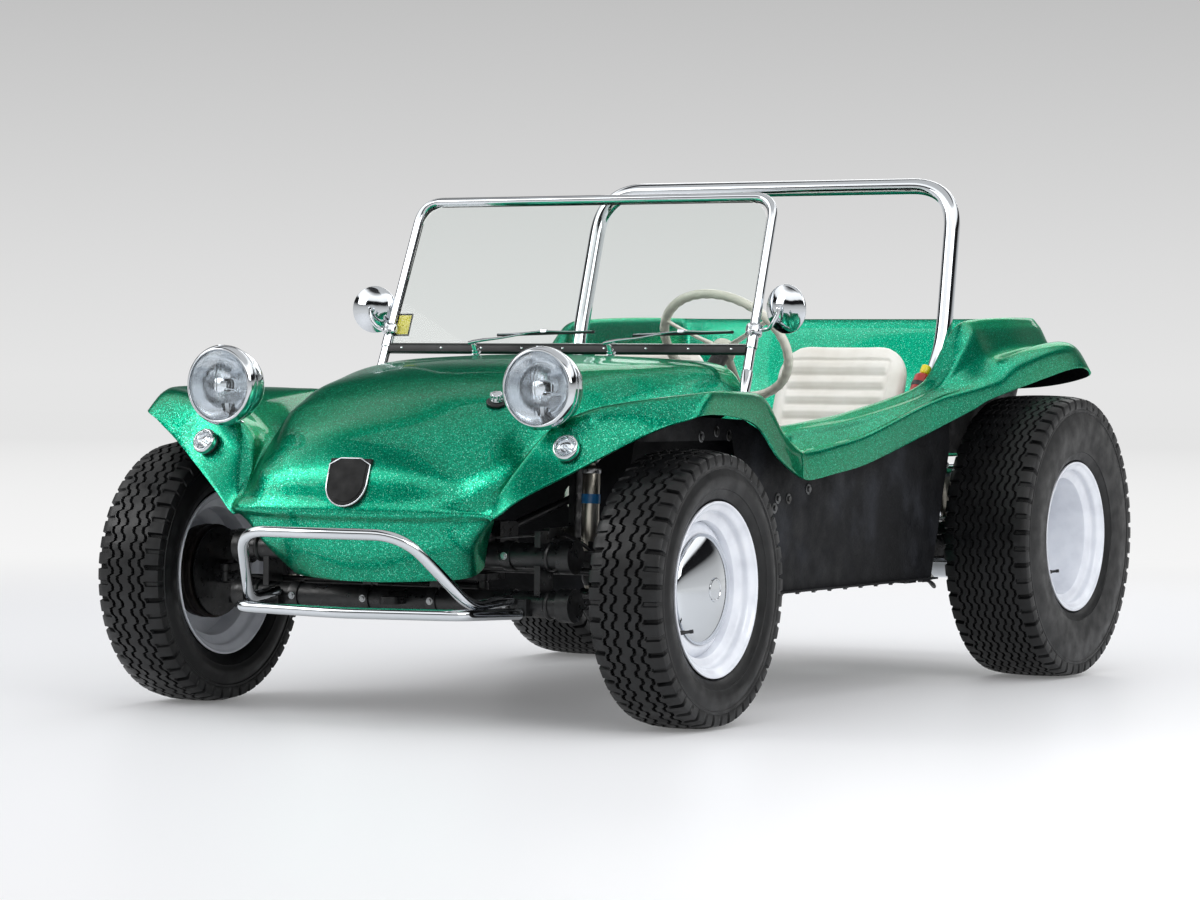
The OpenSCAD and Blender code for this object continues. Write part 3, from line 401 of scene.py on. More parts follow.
def linked(name: str, data: bpy.types.ID) -> bpy.types.Object:
    """A new object round its data, linked to the scene."""
    thing = bpy.data.objects.new(name, data)
    bpy.context.scene.collection.objects.link(thing)
    return thing


def hand_over(thing: bpy.types.Object, finishes: Sequence["Finish"], slot: Slot,
              replaces: Sequence[str] = (), body: str = "chassis") -> bpy.types.Object:
    """Gives a finished object its materials and body, and hides the CAD nodes that it stands for.
    """
    for finish in finishes:
        thing.data.materials.append(finish.material())
    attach(thing, body)
    if replaces:
        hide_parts(*replaces)
    log.info("%s: %d faces on %s", thing.name, len(thing.data.polygons), body)
    return thing


def settle(thing: bpy.types.Object) -> None:
    """Applies an object's modifiers, so that only its final mesh is left."""
    graph = bpy.context.evaluated_depsgraph_get()
    mesh = bpy.data.meshes.new_from_object(thing.evaluated_get(graph))
    thing.modifiers.clear()
    thing.data = mesh


# ------------------------------------------------------------------ finishes
def linear(code: str) -> tuple[float, float, float, float]:
    """Turns an sRGB hex colour such as "#0E9A62" into linear RGBA."""
    channels = [int(code[i:i + 2], 16) / 255 for i in (1, 3, 5)]
    return (*(c / 12.92 if c <= 0.04045 else ((c + 0.055) / 1.055)**2.4 for c in channels), 1.0)


def per_metre(size_mm: float) -> float:
    """Scale of a pattern whose grain is this many millimetres."""
    return 1000.0 / size_mm


def add_node(tree: bpy.types.NodeTree, kind: str, settings: dict | None = None,
             links: dict | None = None) -> bpy.types.Node:
    """Adds one node to a material or to the world.

    Args:
        tree: The nodes that it joins.
        kind: The node's type.
        settings: Its properties and input values, by name or number; "stops" are a ramp's colours.
        links: Output sockets that its inputs take, by name or number.

    Returns:
        The new node.
    """
    node = tree.nodes.new(kind)
    for key, value in (settings or {}).items():
        if key == "stops":
            ramp = node.color_ramp.elements
            while len(ramp) < len(value):
                ramp.new(0.5)
            for element, (position, colour) in zip(ramp, value):
                element.position = position
                element.color = linear(colour)
        elif isinstance(key, str) and hasattr(node, key):
            setattr(node, key, value)
        else:
            node.inputs[key].default_value = value
    for key, source in (links or {}).items():
        tree.links.new(source, node.inputs[key])
    return node


@dataclass(frozen=True)
class Surface:
    """One material's nodes, its shader and the place on the piece, while a finish dresses them."""
    tree: bpy.types.NodeTree
    shader: bpy.types.Node
    at: bpy.types.NodeSocket

    def put(self, values: dict[str, Any]) -> None:
        """Sets the shader's inputs by name."""
        for name, value in values.items():
            self.shader.inputs[name].default_value = value

    def coat(self, weight: float, roughness: float) -> None:
        """Lays a clear coat over the surface."""
        self.put({"Coat Weight": weight, "Coat Roughness": roughness})

    def wire(self, source: bpy.types.NodeSocket, name: str) -> None:
        """Leads an output to one of the shader's inputs."""
        self.tree.links.new(source, self.shader.inputs[name])

    def grain(self, size_mm: float, detail: float = 3.0) -> bpy.types.NodeSocket:
        """Cloudy noise whose patches are about the given size."""
        return add_node(self.tree, "ShaderNodeTexNoise",
                        {"Scale": per_metre(size_mm), "Detail": detail},
                        {"Vector": self.at}).outputs["Fac"]

    def cells(self, size_mm: float) -> bpy.types.Node:
        """Close-packed cells of the given size."""
        return add_node(self.tree, "ShaderNodeTexVoronoi", {"Scale": per_metre(size_mm)},
                        {"Vector": self.at})

    def vector(self, operation: str, settings: dict, links: dict) -> bpy.types.NodeSocket:
        """The outcome of one vector operation."""
        return add_node(self.tree, "ShaderNodeVectorMath", {"operation": operation, **settings},
                        links).outputs[0]

    def bump(self, height: bpy.types.NodeSocket, depth_mm: float, strength: float = 1.0) -> None:
        """Turns a height into a bump of that real depth."""
        node = add_node(self.tree, "ShaderNodeBump",
                        {"Distance": depth_mm * MM, "Strength": strength}, {"Height": height})
        self.wire(node.outputs["Normal"], "Normal")

    def tint(self, value: bpy.types.NodeSocket, stops: Sequence[tuple[float, str]]) -> None:
        """Colours the surface along a ramp."""
        ramp = add_node(self.tree, "ShaderNodeValToRGB", {"stops": stops}, {"Fac": value})
        self.wire(ramp.outputs["Color"], "Base Color")

    def ranged(self, value: bpy.types.NodeSocket, low: float, high: float, start: float = 0.3,
               end: float = 0.7) -> bpy.types.NodeSocket:
        """A value carried from one range into another."""
        return add_node(self.tree, "ShaderNodeMapRange", {"From Min": start, "From Max": end,
                "To Min": low, "To Max": high}, {"Value": value}).outputs["Result"]

    def spread(self, value: bpy.types.NodeSocket, low: float, high: float, start: float = 0.3,
               end: float = 0.7) -> None:
        """Lets the roughness wander between two values."""
        self.wire(self.ranged(value, low, high, start, end), "Roughness")


@dataclass(frozen=True)
class Finish:
    """A plain finish; each real one below adds its own grain, wear and shine."""
    colour: str = "#808080"
    roughness: float = 0.5

    def material(self) -> bpy.types.Material:
        """The finish's material, made once."""
        key = f"{type(self).__name__}_{self.colour[1:]}_{round(self.roughness * 100)}"
        made = bpy.data.materials.get(key)
        if made:
            return made
        made = bpy.data.materials.new(key)
        made.use_nodes = True
        made.diffuse_color = linear(self.colour)
        tree = made.node_tree
        at = add_node(tree, "ShaderNodeTexCoord").outputs["Object"]
        on = Surface(tree, tree.nodes["Principled BSDF"], at)
        on.put({"Base Color": linear(self.colour), "Roughness": self.roughness})
        self.dress(on)
        return made

    def dress(self, on: Surface) -> None:
        """Adds the finish's own nodes."""


@dataclass(frozen=True)
class MetalFlakeGelcoat(Finish):
    """Emerald metal flake in polyester resin, sprayed in a mould under a polished clear coat.

    Each flake lies at its own slant, so neighbours flash or go dark while the clear coat stays
    mirror smooth. Real flakes are 0.4 mm; they are drawn at 1.6 mm so that they show.
    """
    colour: str = "#06705A"
    roughness: float = 0.3
    flake_mm: float = 1.6
    slant: float = 0.15

    def dress(self, on: Surface) -> None:
        """Adds the flakes, their slant and the clear coat."""
        flakes = on.cells(self.flake_mm).outputs["Color"]
        each = add_node(on.tree, "ShaderNodeSeparateColor", {}, {"Color": flakes})
        on.tint(each.outputs["Red"], [(0.0, "#026A52"), (0.5, "#07936F"), (0.85, "#10B88E"),
                                      (0.95, "#35E0B6"), (1.0, "#9CF8DE")])
        middle = on.vector("SUBTRACT", {1: (0.5, 0.5, 0.5)}, {0: flakes})
        lean = on.vector("SCALE", {"Scale": self.slant}, {0: middle})
        face = add_node(on.tree, "ShaderNodeNewGeometry").outputs["Normal"]
        total = on.vector("ADD", {}, {0: face, 1: lean})
        on.wire(on.vector("NORMALIZE", {}, {0: total}), "Normal")
        on.put({"Metallic": 0.93, "Specular Tint": linear("#2FAA8A")})
        on.coat(0.35, 0.05)


@dataclass(frozen=True)
class RoughUndercoat(Finish):
    """Black chassis coating, sprayed thick: a pebbled skin with dusty grey clouds."""
    colour: str = "#17181A"
    roughness: float = 0.62

    def dress(self, on: Surface) -> None:
        """Adds pebbles and dust."""
        on.tint(on.grain(160, 6), [(0.38, "#0C0D0F"), (0.56, "#141518"), (0.74, "#2A2C31")])
        on.spread(on.grain(60), 0.45, 0.75)
        on.bump(on.grain(7, 4), 1.2, 0.8)
        on.put({"Specular IOR Level": 0.22})


@dataclass(frozen=True)
class SatinBlackPaint(Finish):
    """Chassis enamel brushed on steel: satin, with faint brush marks and thin road dust."""
    colour: str = "#0E0F10"
    roughness: float = 0.3

    def dress(self, on: Surface) -> None:
        """Adds dust and brush marks."""
        on.tint(on.grain(45, 5), [(0.4, "#0A0B0C"), (0.62, "#151617"), (0.8, "#2B2825")])
        on.spread(on.grain(18), self.roughness - 0.08, self.roughness + 0.25)
        on.bump(on.grain(9, 4), 0.35, 0.5)


@dataclass(frozen=True)
class PolishedChrome(Finish):
    """Chromium plate over polished steel: a mirror with the faintest buffing haze."""
    colour: str = "#CDD1D5"
    roughness: float = 0.05

    def dress(self, on: Surface) -> None:
        """Adds haze and ripple."""
        on.put({"Metallic": 1.0})
        on.spread(on.grain(24, 5), self.roughness - 0.02, self.roughness + 0.05)
        on.bump(on.grain(30, 2), 0.03, 0.35)


@dataclass(frozen=True)
class WheelEnamel(Finish):
    """Cool white baked enamel on pressed steel: glossy, a little greyer where dust settles."""
    colour: str = "#E2E5EB"
    roughness: float = 0.26

    def dress(self, on: Surface) -> None:
        """Adds dust and orange peel."""
        on.tint(on.grain(70, 5), [(0.3, "#D3D6DD"), (0.55, "#E3E6EC"), (0.8, "#ECEEF2")])
        on.bump(on.grain(5, 2), 0.06, 0.4)
        on.coat(0.4, 0.08)


@dataclass(frozen=True)
class TyreRubber(Finish):
    """Vulcanised rubber: dull carbon black, browner and paler where the road scrubs it."""
    colour: str = "#0E0F10"
    roughness: float = 0.48
    worn: str = "#18191B"

    def dress(self, on: Surface) -> None:
        """Adds scuffs and mould grain."""
        on.tint(on.grain(26, 6), [(0.35, "#0A0A0B"), (0.56, self.colour), (0.78, self.worn)])
        on.spread(on.grain(40), self.roughness - 0.16, self.roughness + 0.08)
        on.bump(on.grain(2.5, 3), 0.3, 0.5)
        on.put({"Specular IOR Level": 0.38})


@dataclass(frozen=True)
class SealRubber(Finish):
    """Extruded black rubber: smooth satin with a fine bloom."""
    colour: str = "#141415"
    roughness: float = 0.42

    def dress(self, on: Surface) -> None:
        """Adds bloom."""
        on.tint(on.grain(30, 4), [(0.35, "#0F0F10"), (0.7, "#202022")])
        on.bump(on.grain(4, 3), 0.12, 0.5)


@dataclass(frozen=True)
class ClearGlass(Finish):
    """Float glass: clear with the faintest green, its reflections sharp, a trace of dust on it."""
    colour: str = "#F6FAF8"
    roughness: float = 0.0
    dust: float = 0.02
    bend: float = 1.14

    def dress(self, on: Surface) -> None:
        """Makes it clear and adds dust."""
        on.put({"Transmission Weight": 1.0, "IOR": self.bend})
        on.spread(on.grain(40, 6), 0.0, self.dust, 0.45, 0.9)


@dataclass(frozen=True)
class TintedLens(Finish):
    """Moulded lens plastic: coloured through, glossy, with light caught inside its prisms."""
    colour: str = "#B01512"
    roughness: float = 0.12

    def dress(self, on: Surface) -> None:
        """Adds the prisms' ripple and depth."""
        on.bump(on.grain(5, 1), 0.5, 0.5)
        on.put({"Transmission Weight": 0.35})
        on.coat(0.6, 0.03)


@dataclass(frozen=True)
class GrainedVinyl(Finish):
    """Upholstery vinyl, embossed with a leather grain: soft sheen and small creases."""
    colour: str = "#E6E3DB"
    roughness: float = 0.42
    pebble_mm: float = 2.2

    def dress(self, on: Surface) -> None:
        """Adds the grain, large enough to show, and faint soiling."""
        on.tint(on.grain(90, 5), [(0.3, "#DAD6CC"), (0.55, self.colour), (0.8, "#EFEDE8")])
        on.bump(on.cells(self.pebble_mm).outputs["Distance"], 0.25, 0.5)
        on.spread(on.grain(25, 4), 0.36, 0.52)
        on.coat(0.12, 0.3)


@dataclass(frozen=True)
class CastResin(Finish):
    """Glossy moulded resin, as on an old steering wheel, a flap or a knob; faintly uneven."""
    colour: str = "#E4E1D3"
    roughness: float = 0.2

    def dress(self, on: Surface) -> None:
        """Adds mottling and a polished skin."""
        dim = on.ranged(on.grain(50, 4), 0.86, 1.0)
        on.wire(on.vector("SCALE", {0: linear(self.colour)[:3]}, {"Scale": dim}), "Base Color")
        on.bump(on.grain(12, 2), 0.06, 0.4)
        on.coat(0.3, 0.05)


@dataclass(frozen=True)
class CastMetal(Finish):
    """Sand-cast or rolled metal, bead blasted: a fine grain that breaks up its shine."""
    colour: str = "#8C8D8E"
    roughness: float = 0.42
    soiled: str = "#4A4845"

    def dress(self, on: Surface) -> None:
        """Adds grain and grime."""
        on.put({"Metallic": 0.9})
        on.tint(on.grain(55, 6), [(0.3, self.soiled), (0.52, self.colour), (0.9, self.colour)])
        on.spread(on.grain(14, 3), self.roughness - 0.1, self.roughness + 0.15)
        on.bump(on.grain(3, 3), 0.25, 0.6)


FLAKE = MetalFlakeGelcoat()
UNDERCOAT = RoughUndercoat()
BLACK = SatinBlackPaint()
CHROME = PolishedChrome()
ENAMEL = WheelEnamel()
RUBBER = TyreRubber()
# painted shade: darker, duller rubber for the tyres' groove floors and notch floors
GROOVE_SHADE_RUBBER = TyreRubber("#070708", 0.85, "#101011")
SEAL = SealRubber()
GLASS = ClearGlass()
LAMP_GLASS = ClearGlass("#F8FBFD", 0.0, 0.03, 1.32)
RED_LENS = TintedLens()
VINYL = GrainedVinyl()
IVORY = CastResin()
ALUMINIUM = CastMetal()
IRON = CastMetal("#3B3735", 0.55, "#2A2321")
SHOCK_STEEL = PolishedChrome("#BDB8AC", 0.3)
REFLECTOR = PolishedChrome("#EDF0F3", 0.18)
BLUE_BAND = CastResin("#1C6FA8", 0.35)
RED_PAINT = CastResin("#A8231B", 0.28)
YELLOW_CAP = CastResin("#E8D51A", 0.35)
BADGE_BLACK = TyreRubber("#060607", 0.7, "#0B0B0C")
DIAL_BLACK = CastResin("#101112", 0.5)
PALE_MARK = CastResin("#E9E9E4", 0.5)
ZINC = CastMetal("#B9BBBD", 0.32, "#8D8C88")
DULL_ZINC = CastMetal("#6E6F70", 0.4, "#34332F")
MIRROR = PolishedChrome("#C9CED2", 0.02)


# ------------------------------------------------------------------ body
# Left half of the front body, behind the front axle, from the chin up over the nose to the cowl.
# Each row runs from the lower edge of the wing to the middle: lower edge, upper edge, crest,
# slope, valley, bonnet side, shoulder, quarter, middle.
FRONT_ROWS = [
    [[254, -196, 372], [254, -214, 362], [252, -234, 354], [243, -256, 348], [218, -281, 344],
     [170, -303, 341], [112, -320, 338], [56, -330, 336], [0, -333, 336]],
    [[290, -236, 440], [294, -270, 432], [296, -300, 427], [290, -325, 424], [268, -346, 422],
     [214, -361, 420], [145, -371, 419], [72, -376, 418], [0, -378, 418]],
    [[350, -314, 484], [347, -326, 483], [340, -337, 482], [323, -349, 480], [293, -361, 478],
     [230, -374, 475], [158, -382, 473], [80, -386, 472], [0, -388, 472]],
    [[360, -347, 487], [357, -352, 496], [350, -360, 501], [338, -368, 503], [317, -377, 504],
     [250, -395, 500], [170, -405, 498], [85, -410, 497], [0, -412, 497]],
    [[382, -344, 504], [366, -330, 532], [358, -324, 540], [347, -327, 540], [333, -338, 536],
     [262, -380, 532], [176, -397, 531], [88, -404, 531], [0, -406, 531]],
    [[429, -325, 543], [387, -290, 590], [377, -266, 604], [367, -258, 599], [357, -262, 587],
     [286, -340, 592], [188, -374, 600], [94, -384, 604], [0, -386, 605]],
    [[530, -266, 603], [452, -238, 664], [440, -214, 699], [412, -190, 672], [384, -190, 626],
     [338, -236, 644], [254, -286, 668], [140, -310, 680], [0, -318, 684]],
    [[629, -212, 662], [543, -207, 728], [522, -160, 748], [462, -130, 708], [406, -108, 657],
     [372, -132, 692], [312, -164, 730], [165, -190, 750], [0, -196, 756]],
    [[712, -172, 707], [660, -148, 764], [632, -92, 770], [520, -66, 727], [420, -52, 676],
     [384, -66, 715], [322, -90, 764], [168, -106, 789], [0, -110, 796]],
    [[776, -120, 733], [762, -78, 778], [732, -36, 787], [570, -8, 748], [436, 2, 695],
     [396, -4, 738], [330, -16, 792], [172, -24, 818], [0, -26, 825]],
    [[762, 20, 737], [755, 50, 784], [724, 66, 792], [595, 84, 766], [458, 92, 714],
     [414, 90, 762], [342, 88, 814], [176, 86, 843], [0, 86, 850]],
    [[738, 200, 725], [732, 206, 780], [704, 212, 792], [606, 216, 778], [496, 218, 738],
     [444, 218, 792], [362, 218, 838], [186, 218, 858], [0, 218, 864]],
    [[722, 318, 698], [708, 345, 770], [682, 350, 788], [612, 350, 784], [532, 350, 755],
     [472, 346, 812], [396, 346, 850], [202, 346, 866], [0, 346, 871]],
    [[716, 423, 632], [698, 432, 728], [668, 440, 772], [614, 448, 784], [542, 452, 760],
     [492, 454, 822], [426, 454, 858], [216, 454, 874], [0, 454, 879]],
    [[702, 545, 590], [690, 530, 662], [655, 528, 716], [614, 528, 760], [548, 530, 752],
     [508, 530, 818], [438, 530, 861], [222, 530, 876], [0, 530, 880]],
    [[686, 618, 576], [682, 618, 634], [655, 618, 660], [612, 618, 696], [564, 618, 716],
     [516, 618, 800], [446, 618, 858], [226, 618, 874], [0, 618, 878]]
]
WALL = 592
WALL_FOOT = PAN_TOP + 0.3
SHELL_T = 6.0
PANEL_GAP = 0.9
PANEL_T = 5.0
# Left rear body, rearward along the rail, up the rear wing and round the tail to the middle.
# Each row runs inward: lower edge, upper edge, crown, valley, outside of the rim, inside of the
# rim, middle of the wall, foot of the wall. The rail stands behind the front axle.
RAIL_ROWS = [[[x, y, z] for x, z in skin + [(WALL, rim), (WALL, 520), (WALL, WALL_FOOT)]] for y,
             rim, skin in [(619, 690, [(686, 576), (682, 634), (664, 652), (642, 671), (622, 691)]),
                           (680, 692, [(680, 571), (678, 632), (662, 652), (642, 673), (622, 696)]),
                           (820, 703, [(676, 584), (676, 646), (662, 664), (645, 684), (626, 706)]),
                           (1020, 722, [(670, 606), (672, 671), (660, 687), (646, 704),
        (630, 723)])]]
# The wing's rows stand behind the rear axle.
WING_ROWS = [
    [[670, -708, 667], [671, -708, 738], [660, -708, 748], [647, -708, 757], [632, -708, 764],
     [WALL, -708, 763], [WALL, -708, 540], [WALL, -708, WALL_FOOT]],
    [[680, -560, 703], [678, -560, 770], [664, -560, 780], [650, -560, 789], [634, -560, 795],
     [WALL + 4, -560, 792], [WALL, -560, 560], [WALL, -560, WALL_FOOT]],
    [[690, -470, 727], [690, -440, 788], [674, -450, 802], [656, -462, 820], [640, -470, 838],
     [597, -476, 842], [WALL, -480, 700], [WALL, -480, 310]],
    [[698, -390, 748], [700, -340, 803], [682, -350, 826], [664, -360, 868], [646, -372, 916],
     [603, -384, 930], [WALL - 1, -390, 740], [WALL - 4, -398, 430]],
    [[705, -320, 770], [708, -262, 818], [692, -266, 848], [668, -276, 892], [640, -300, 960],
     [606, -320, 968], [592, -330, 800], [562, -338, 622]],
    [[722, -160, 802], [722, -160, 856], [700, -166, 888], [662, -174, 898], [630, -190, 970],
     [600, -200, 980], [566, -200, 800], [534, -200, 622]],
    [[732, 10, 832], [731, 15, 896], [700, 15, 922], [656, 15, 914], [622, 15, 978],
     [592, 15, 988], [556, 15, 800], [532, 15, 622]],
    [[738, 180, 858], [729, 175, 915], [694, 175, 936], [644, 175, 918], [606, 175, 982],
     [578, 175, 990], [550, 165, 800], [528, 140, 622]],
    [[742, 290, 862], [716, 268, 918], [684, 270, 933], [632, 276, 922], [592, 280, 983],
     [564, 270, 990], [540, 245, 800], [516, 185, 622]],
    [[716, 350, 836], [680, 344, 906], [646, 340, 924], [602, 330, 920], [568, 322, 982],
     [540, 300, 990], [505, 262, 800], [470, 196, 622]],
    [[560, 372, 806], [540, 372, 880], [520, 366, 906], [500, 352, 916], [484, 340, 980],
     [470, 312, 990], [440, 268, 800], [420, 200, 622]],
    [[280, 378, 795], [270, 378, 868], [265, 370, 898], [260, 356, 912], [250, 342, 978],
     [245, 314, 990], [235, 270, 800], [230, 200, 622]],
    [[0, 378, 794], [0, 378, 866], [0, 370, 896], [0, 356, 911], [0, 342, 978],
     [0, 314, 990], [0, 270, 800], [0, 200, 622]]
]


def mirrored_rows(rows: np.ndarray) -> np.ndarray:
    """Rows that end on the middle line, carried on to the other side."""
    return np.concatenate([rows, flip(rows[:, -2::-1])], 1)


@dataclass
class Body:
    """The moulded shell: bonnet, wings, sills and tail in one skin, with its badge and filler."""
    wall: float = SHELL_T
    edge: float = 1.6
    edge_from: float = 62.0
    fineness: int = 6
    badge_w: float = 112.0
    badge_h: float = 118.0

    def nets(self) -> tuple[np.ndarray, np.ndarray, np.ndarray, np.ndarray]:
        """The front and rear skins' rows, and the row that each would have past their joint."""
        nose = np.array(FRONT_ROWS, float) + [0, FRONT_Y, 0]
        rail = np.array(RAIL_ROWS, float) + [0, FRONT_Y, 0]
        tail = np.concatenate([rail, np.array(WING_ROWS, float) + [0, REAR_Y, 0]])
        tail[0, :, 1] = nose[-1, 0, 1]
        onward = 2 * nose[-1] - nose[-2]
        onward[:5] = rail[1, :5]
        onward[5:] = nose[-1, 5:]
        backward = 2 * tail[0] - tail[1]
        backward[:5] = nose[-2, :5]
        return nose, tail, onward, backward

    def shell(self) -> None:
        """The skin, its wall and the eased edges of the wall."""
        nose, tail, onward, backward = self.nets()
        n = self.fineness
        skin = across(mirrored_rows(nose), n)
        past = across(mirrored_rows(onward[None]), n)[0]
        front_skin = catmull(skin, n, after=past)
        around = np.concatenate([tail, flip(tail[-2::-1])])
        prior = across(backward[None], 8)[0]
        rear_skin = catmull(across(around, 8), n, before=prior, after=flip(prior))
        blank = Blank().grid(front_skin).grid(rear_skin)
        thing = blank.piece("body_shell", [FLAKE, UNDERCOAT], Slot.GELCOAT,
                            ["front_body", "rear_body"], sharp=60, mend=False)
        wall = thing.modifiers.new("wall", "SOLIDIFY")
        wall.thickness = self.wall * MM
        wall.offset = -1
        wall.material_offset = 1
        wall.material_offset_rim = 0
        ease = thing.modifiers.new("eased_edge", "BEVEL")
        ease.limit_method = "ANGLE"
        ease.angle_limit = math.radians(self.edge_from)
        ease.width = self.edge * MM
        ease.segments = 2
        settle(thing)

    def badge(self) -> None:
        """A plain black plate with a bright rim, on the nose."""
        w, h = self.badge_w / 2, self.badge_h
        outline = [(-w, 0), (w, 0)] + [(w * math.cos(a), -h * 0.52 - h * 0.48 * math.sin(a))
                                       for a in np.linspace(0, math.pi, 20)]
        at = shift(*front(0, -378.6, 626)) @ spin(71, "X")
        plate = Blank().drawn(outline, -9, 5, 0, 1.2, at)
        rim = np.array([(x, y, 5) for x, y in outline + outline[:1]])
        rim[:, 2] += 0.4
        moved = rim @ np.array(at)[:3, :3].T + np.array(at)[:3, 3]
        plate.tube(softened(moved[:-1], 1), 2.0, 10, 1, closed=True)
        inner = [(x * 0.82, -h * 0.5 + (y + h * 0.5) * 0.82) for x, y in outline]
        plate.drawn(inner, 4.6, 6.4, 0, 0.8, at)
        plate.piece("nose_plate", [BADGE_BLACK, CHROME], Slot.BLACK)

    def filler(self) -> None:
        """The fuel cap: a black collar with a bright vented knob."""
        at = shift(*front(253, -142.5, 760)) @ spin(25, "X") @ spin(12, "Y")
        knob = Blank().turned(softened([(0.1, 0), (26, 0), (26, 5), (22, 7), (19, 7.5), (0.1, 7.5)],
                                       1), 40, 0, at=at)
        profile = [(0.1, 7), (16, 7), (17, 10), (15, 13), (13, 18), (14, 23), (12, 27), (0.1, 28)]
        knob.turned(softened(profile, 2, False), 40, 1, at=at)
        for turn in range(0, 360, 30):
            fin = spin(turn)
            knob.slab((11.5, -1.2, 9), (16.5, 1.2, 25), 0.6, 1, at @ fin)
        knob.piece("fuel_filler", [SEAL, CHROME], Slot.CHROME, ["fuel_cap"])

    def build(self) -> None:
        """Makes the shell and what sits on it."""
        self.shell()
        self.badge()
        self.filler()


# ------------------------------------------------------------------ wheels
@dataclass
class Tyre:
    """A cross-ply tyre with zigzag ribs, notched shoulders and a raised line on each side wall; its
    groove and notch floors are painted darker as painted shade.
    """
    diameter: float
    width: float
    rim_w: float
    steps: int
    ribs: Sequence[float]
    groove: float = 9.0
    groove_w: float = 8.0
    swing: float = 4.6
    teeth: float = 2.0
    notch: float = 10.0
    bead: float = 192.0
    flange: float = 208.3
    bead_in: float = 13.3
    crown_drop: float = 4.0

    def crown(self, x: Any) -> Any:
        """Radius of the tread's face, a distance from its middle."""
        return self.diameter / 2 - self.crown_drop * (x / (self.width * 0.36))**2

    def stations(self) -> list[tuple[float, float, float, float]]:
        """Half the section, as (across, radius, share of the zigzag, share of the notches)."""
        o, h, b = self.diameter / 2, self.width / 2, self.rim_w / 2 - self.bead_in
        crown = self.crown
        out = [(0.0, crown(0), 1, 0)]
        for mid in self.ribs:
            a, c = mid - self.groove_w / 2, mid + self.groove_w / 2
            out += [(a - 0.8, crown(a), 1, 0), (a + 1.1, crown(a) - self.groove, 1, 0),
                    (c - 1.1, crown(c) - self.groove, 1, 0), (c + 0.8, crown(c), 1, 0)]
        last, edge, mid_r = self.ribs[-1] + self.groove_w / 2, h - 9, (o + self.bead) / 2
        out += [(last + 6, crown(last) - 0.3, 0.5, 0), (last + 8, crown(last) - 0.6, 0.3, 1),
                ((last + edge) / 2 + 4, o - 5.8, 0, 1), (edge, o - 9, 0, 1),
                (edge + 3.4, o - 12, 0, 1), (h - 4.2, o - 19, 0, 1), (h - 3.6, o - 28, 0, 0.8),
                (h - 4.4, o - 34, 0, 0.3), (h - 5.4, o - 37, 0, 0), (h - 4.0, o - 39, 0, 0),
                (h - 3.8, o - 43, 0, 0), (h - 5.8, o - 45, 0, 0), (h - 4.4, o - 51, 0, 0),
                (h - 1.6, (o - 48 + mid_r) / 2, 0, 0), (h - 0.3, mid_r + 3, 0, 0),
                (h - 1.5, mid_r - 12, 0, 0)]
        lip = self.flange + 24
        out += [(h - 5.5, lip + 8, 0, 0), (h - 6.0, lip + 4, 0, 0), (h - 8.6, lip + 2.5, 0, 0),
                (h - 12, lip - 6, 0, 0), (b + 12, self.flange + 7, 0, 0),
                (b + 7, self.flange + 2.6, 0, 0), (b, self.flange, 0, 0), (b, self.bead, 0, 0),
                (b - 14, self.bead, 0, 0), (h - 16, mid_r, 0, 0), (h * 0.6, o - 30, 0, 0)]
        return out

    def build(self, name: str, at: Matrix, body: str) -> None:
        """Makes the tyre round its own axle and places it."""
        half = self.stations()
        section = np.array([(-x, r, z, n) for x, r, z, n in half[:0:-1]] + half)
        beats = np.array([0, .08, .16, .25, .34, .40, .42, .58, .60, .66, .75, .84, .92])
        tooth = np.array([0, 1, 0, 1, 0, 0, 0, 0, 0, 0, 1, 0, 1.0])
        wave = np.interp(beats, [0, .08, .42, .58, .92, 1], [0, 1, 1, -1, -1, 0])
        notch = (np.abs(beats - 0.5) < 0.11) * 1.0
        turns = (np.arange(self.steps)[:, None] + beats).ravel() * 2 * math.pi / self.steps
        sway = np.tile(self.swing * wave + self.teeth * tooth * np.sign(wave), self.steps)[:, None]
        pair = np.tile(np.repeat([1.0, 0.62], len(beats)), (self.steps + 1) // 2)[:self.steps
                * len(beats)]
        cut = (np.tile(notch, self.steps) * pair)[:, None]
        x = section[:, 0] + sway * section[:, 2]
        x = x - np.sign(section[:, 0]) * 3.2 * cut * section[:,
                3] * (section[:, 1] < self.diameter / 2 - 11)
        far = section[:, 1] - self.notch * cut * section[:, 3]
        rows = np.stack([x, far * np.cos(turns)[:, None], far * np.sin(turns)[:, None]], 2)
        cut_in = np.flatnonzero((section[:, 2] > 0) | (section[:, 3] > 0))
        first, end = cut_in[0] - 1, cut_in[-1] + 2
        blank = Blank().grid(rows[:, first:end], 0, False, True, at)
        tread_faces = len(blank.faces)
        plain = np.roll(section, -(end - 1), 0)[:len(section) - (end - first) + 2]
        around = whole_turn(self.steps * 3)[:, None]
        side = [plain[:, 0] * np.ones_like(around), plain[:, 1] * np.cos(around),
                plain[:, 1] * np.sin(around)]
        blank.grid(np.stack(side, 2), 0, False, True, at)
        # groove floors and notch floors get the darker rubber: painted shade in the recesses
        low = (section[:, 1] < self.crown(section[:, 0]) - self.groove * 0.6) & (section[:, 2] == 1)
        floor = low & np.roll(low, -1)
        sunk = (cut[:, 0] > 0.9) & np.roll(cut[:, 0] > 0.9, -1)
        dark = floor[None] | (sunk[:, None] & (section[:, 3] == 1)[None]
                              & (np.roll(section[:, 3], -1) == 1)[None])
        blank.finish[:tread_faces] = dark[:, first:end - 1].ravel().astype(int).tolist()
        blank.piece(name, [RUBBER, GROOVE_SHADE_RUBBER], Slot.TYRE, [name], body, sharp=32)


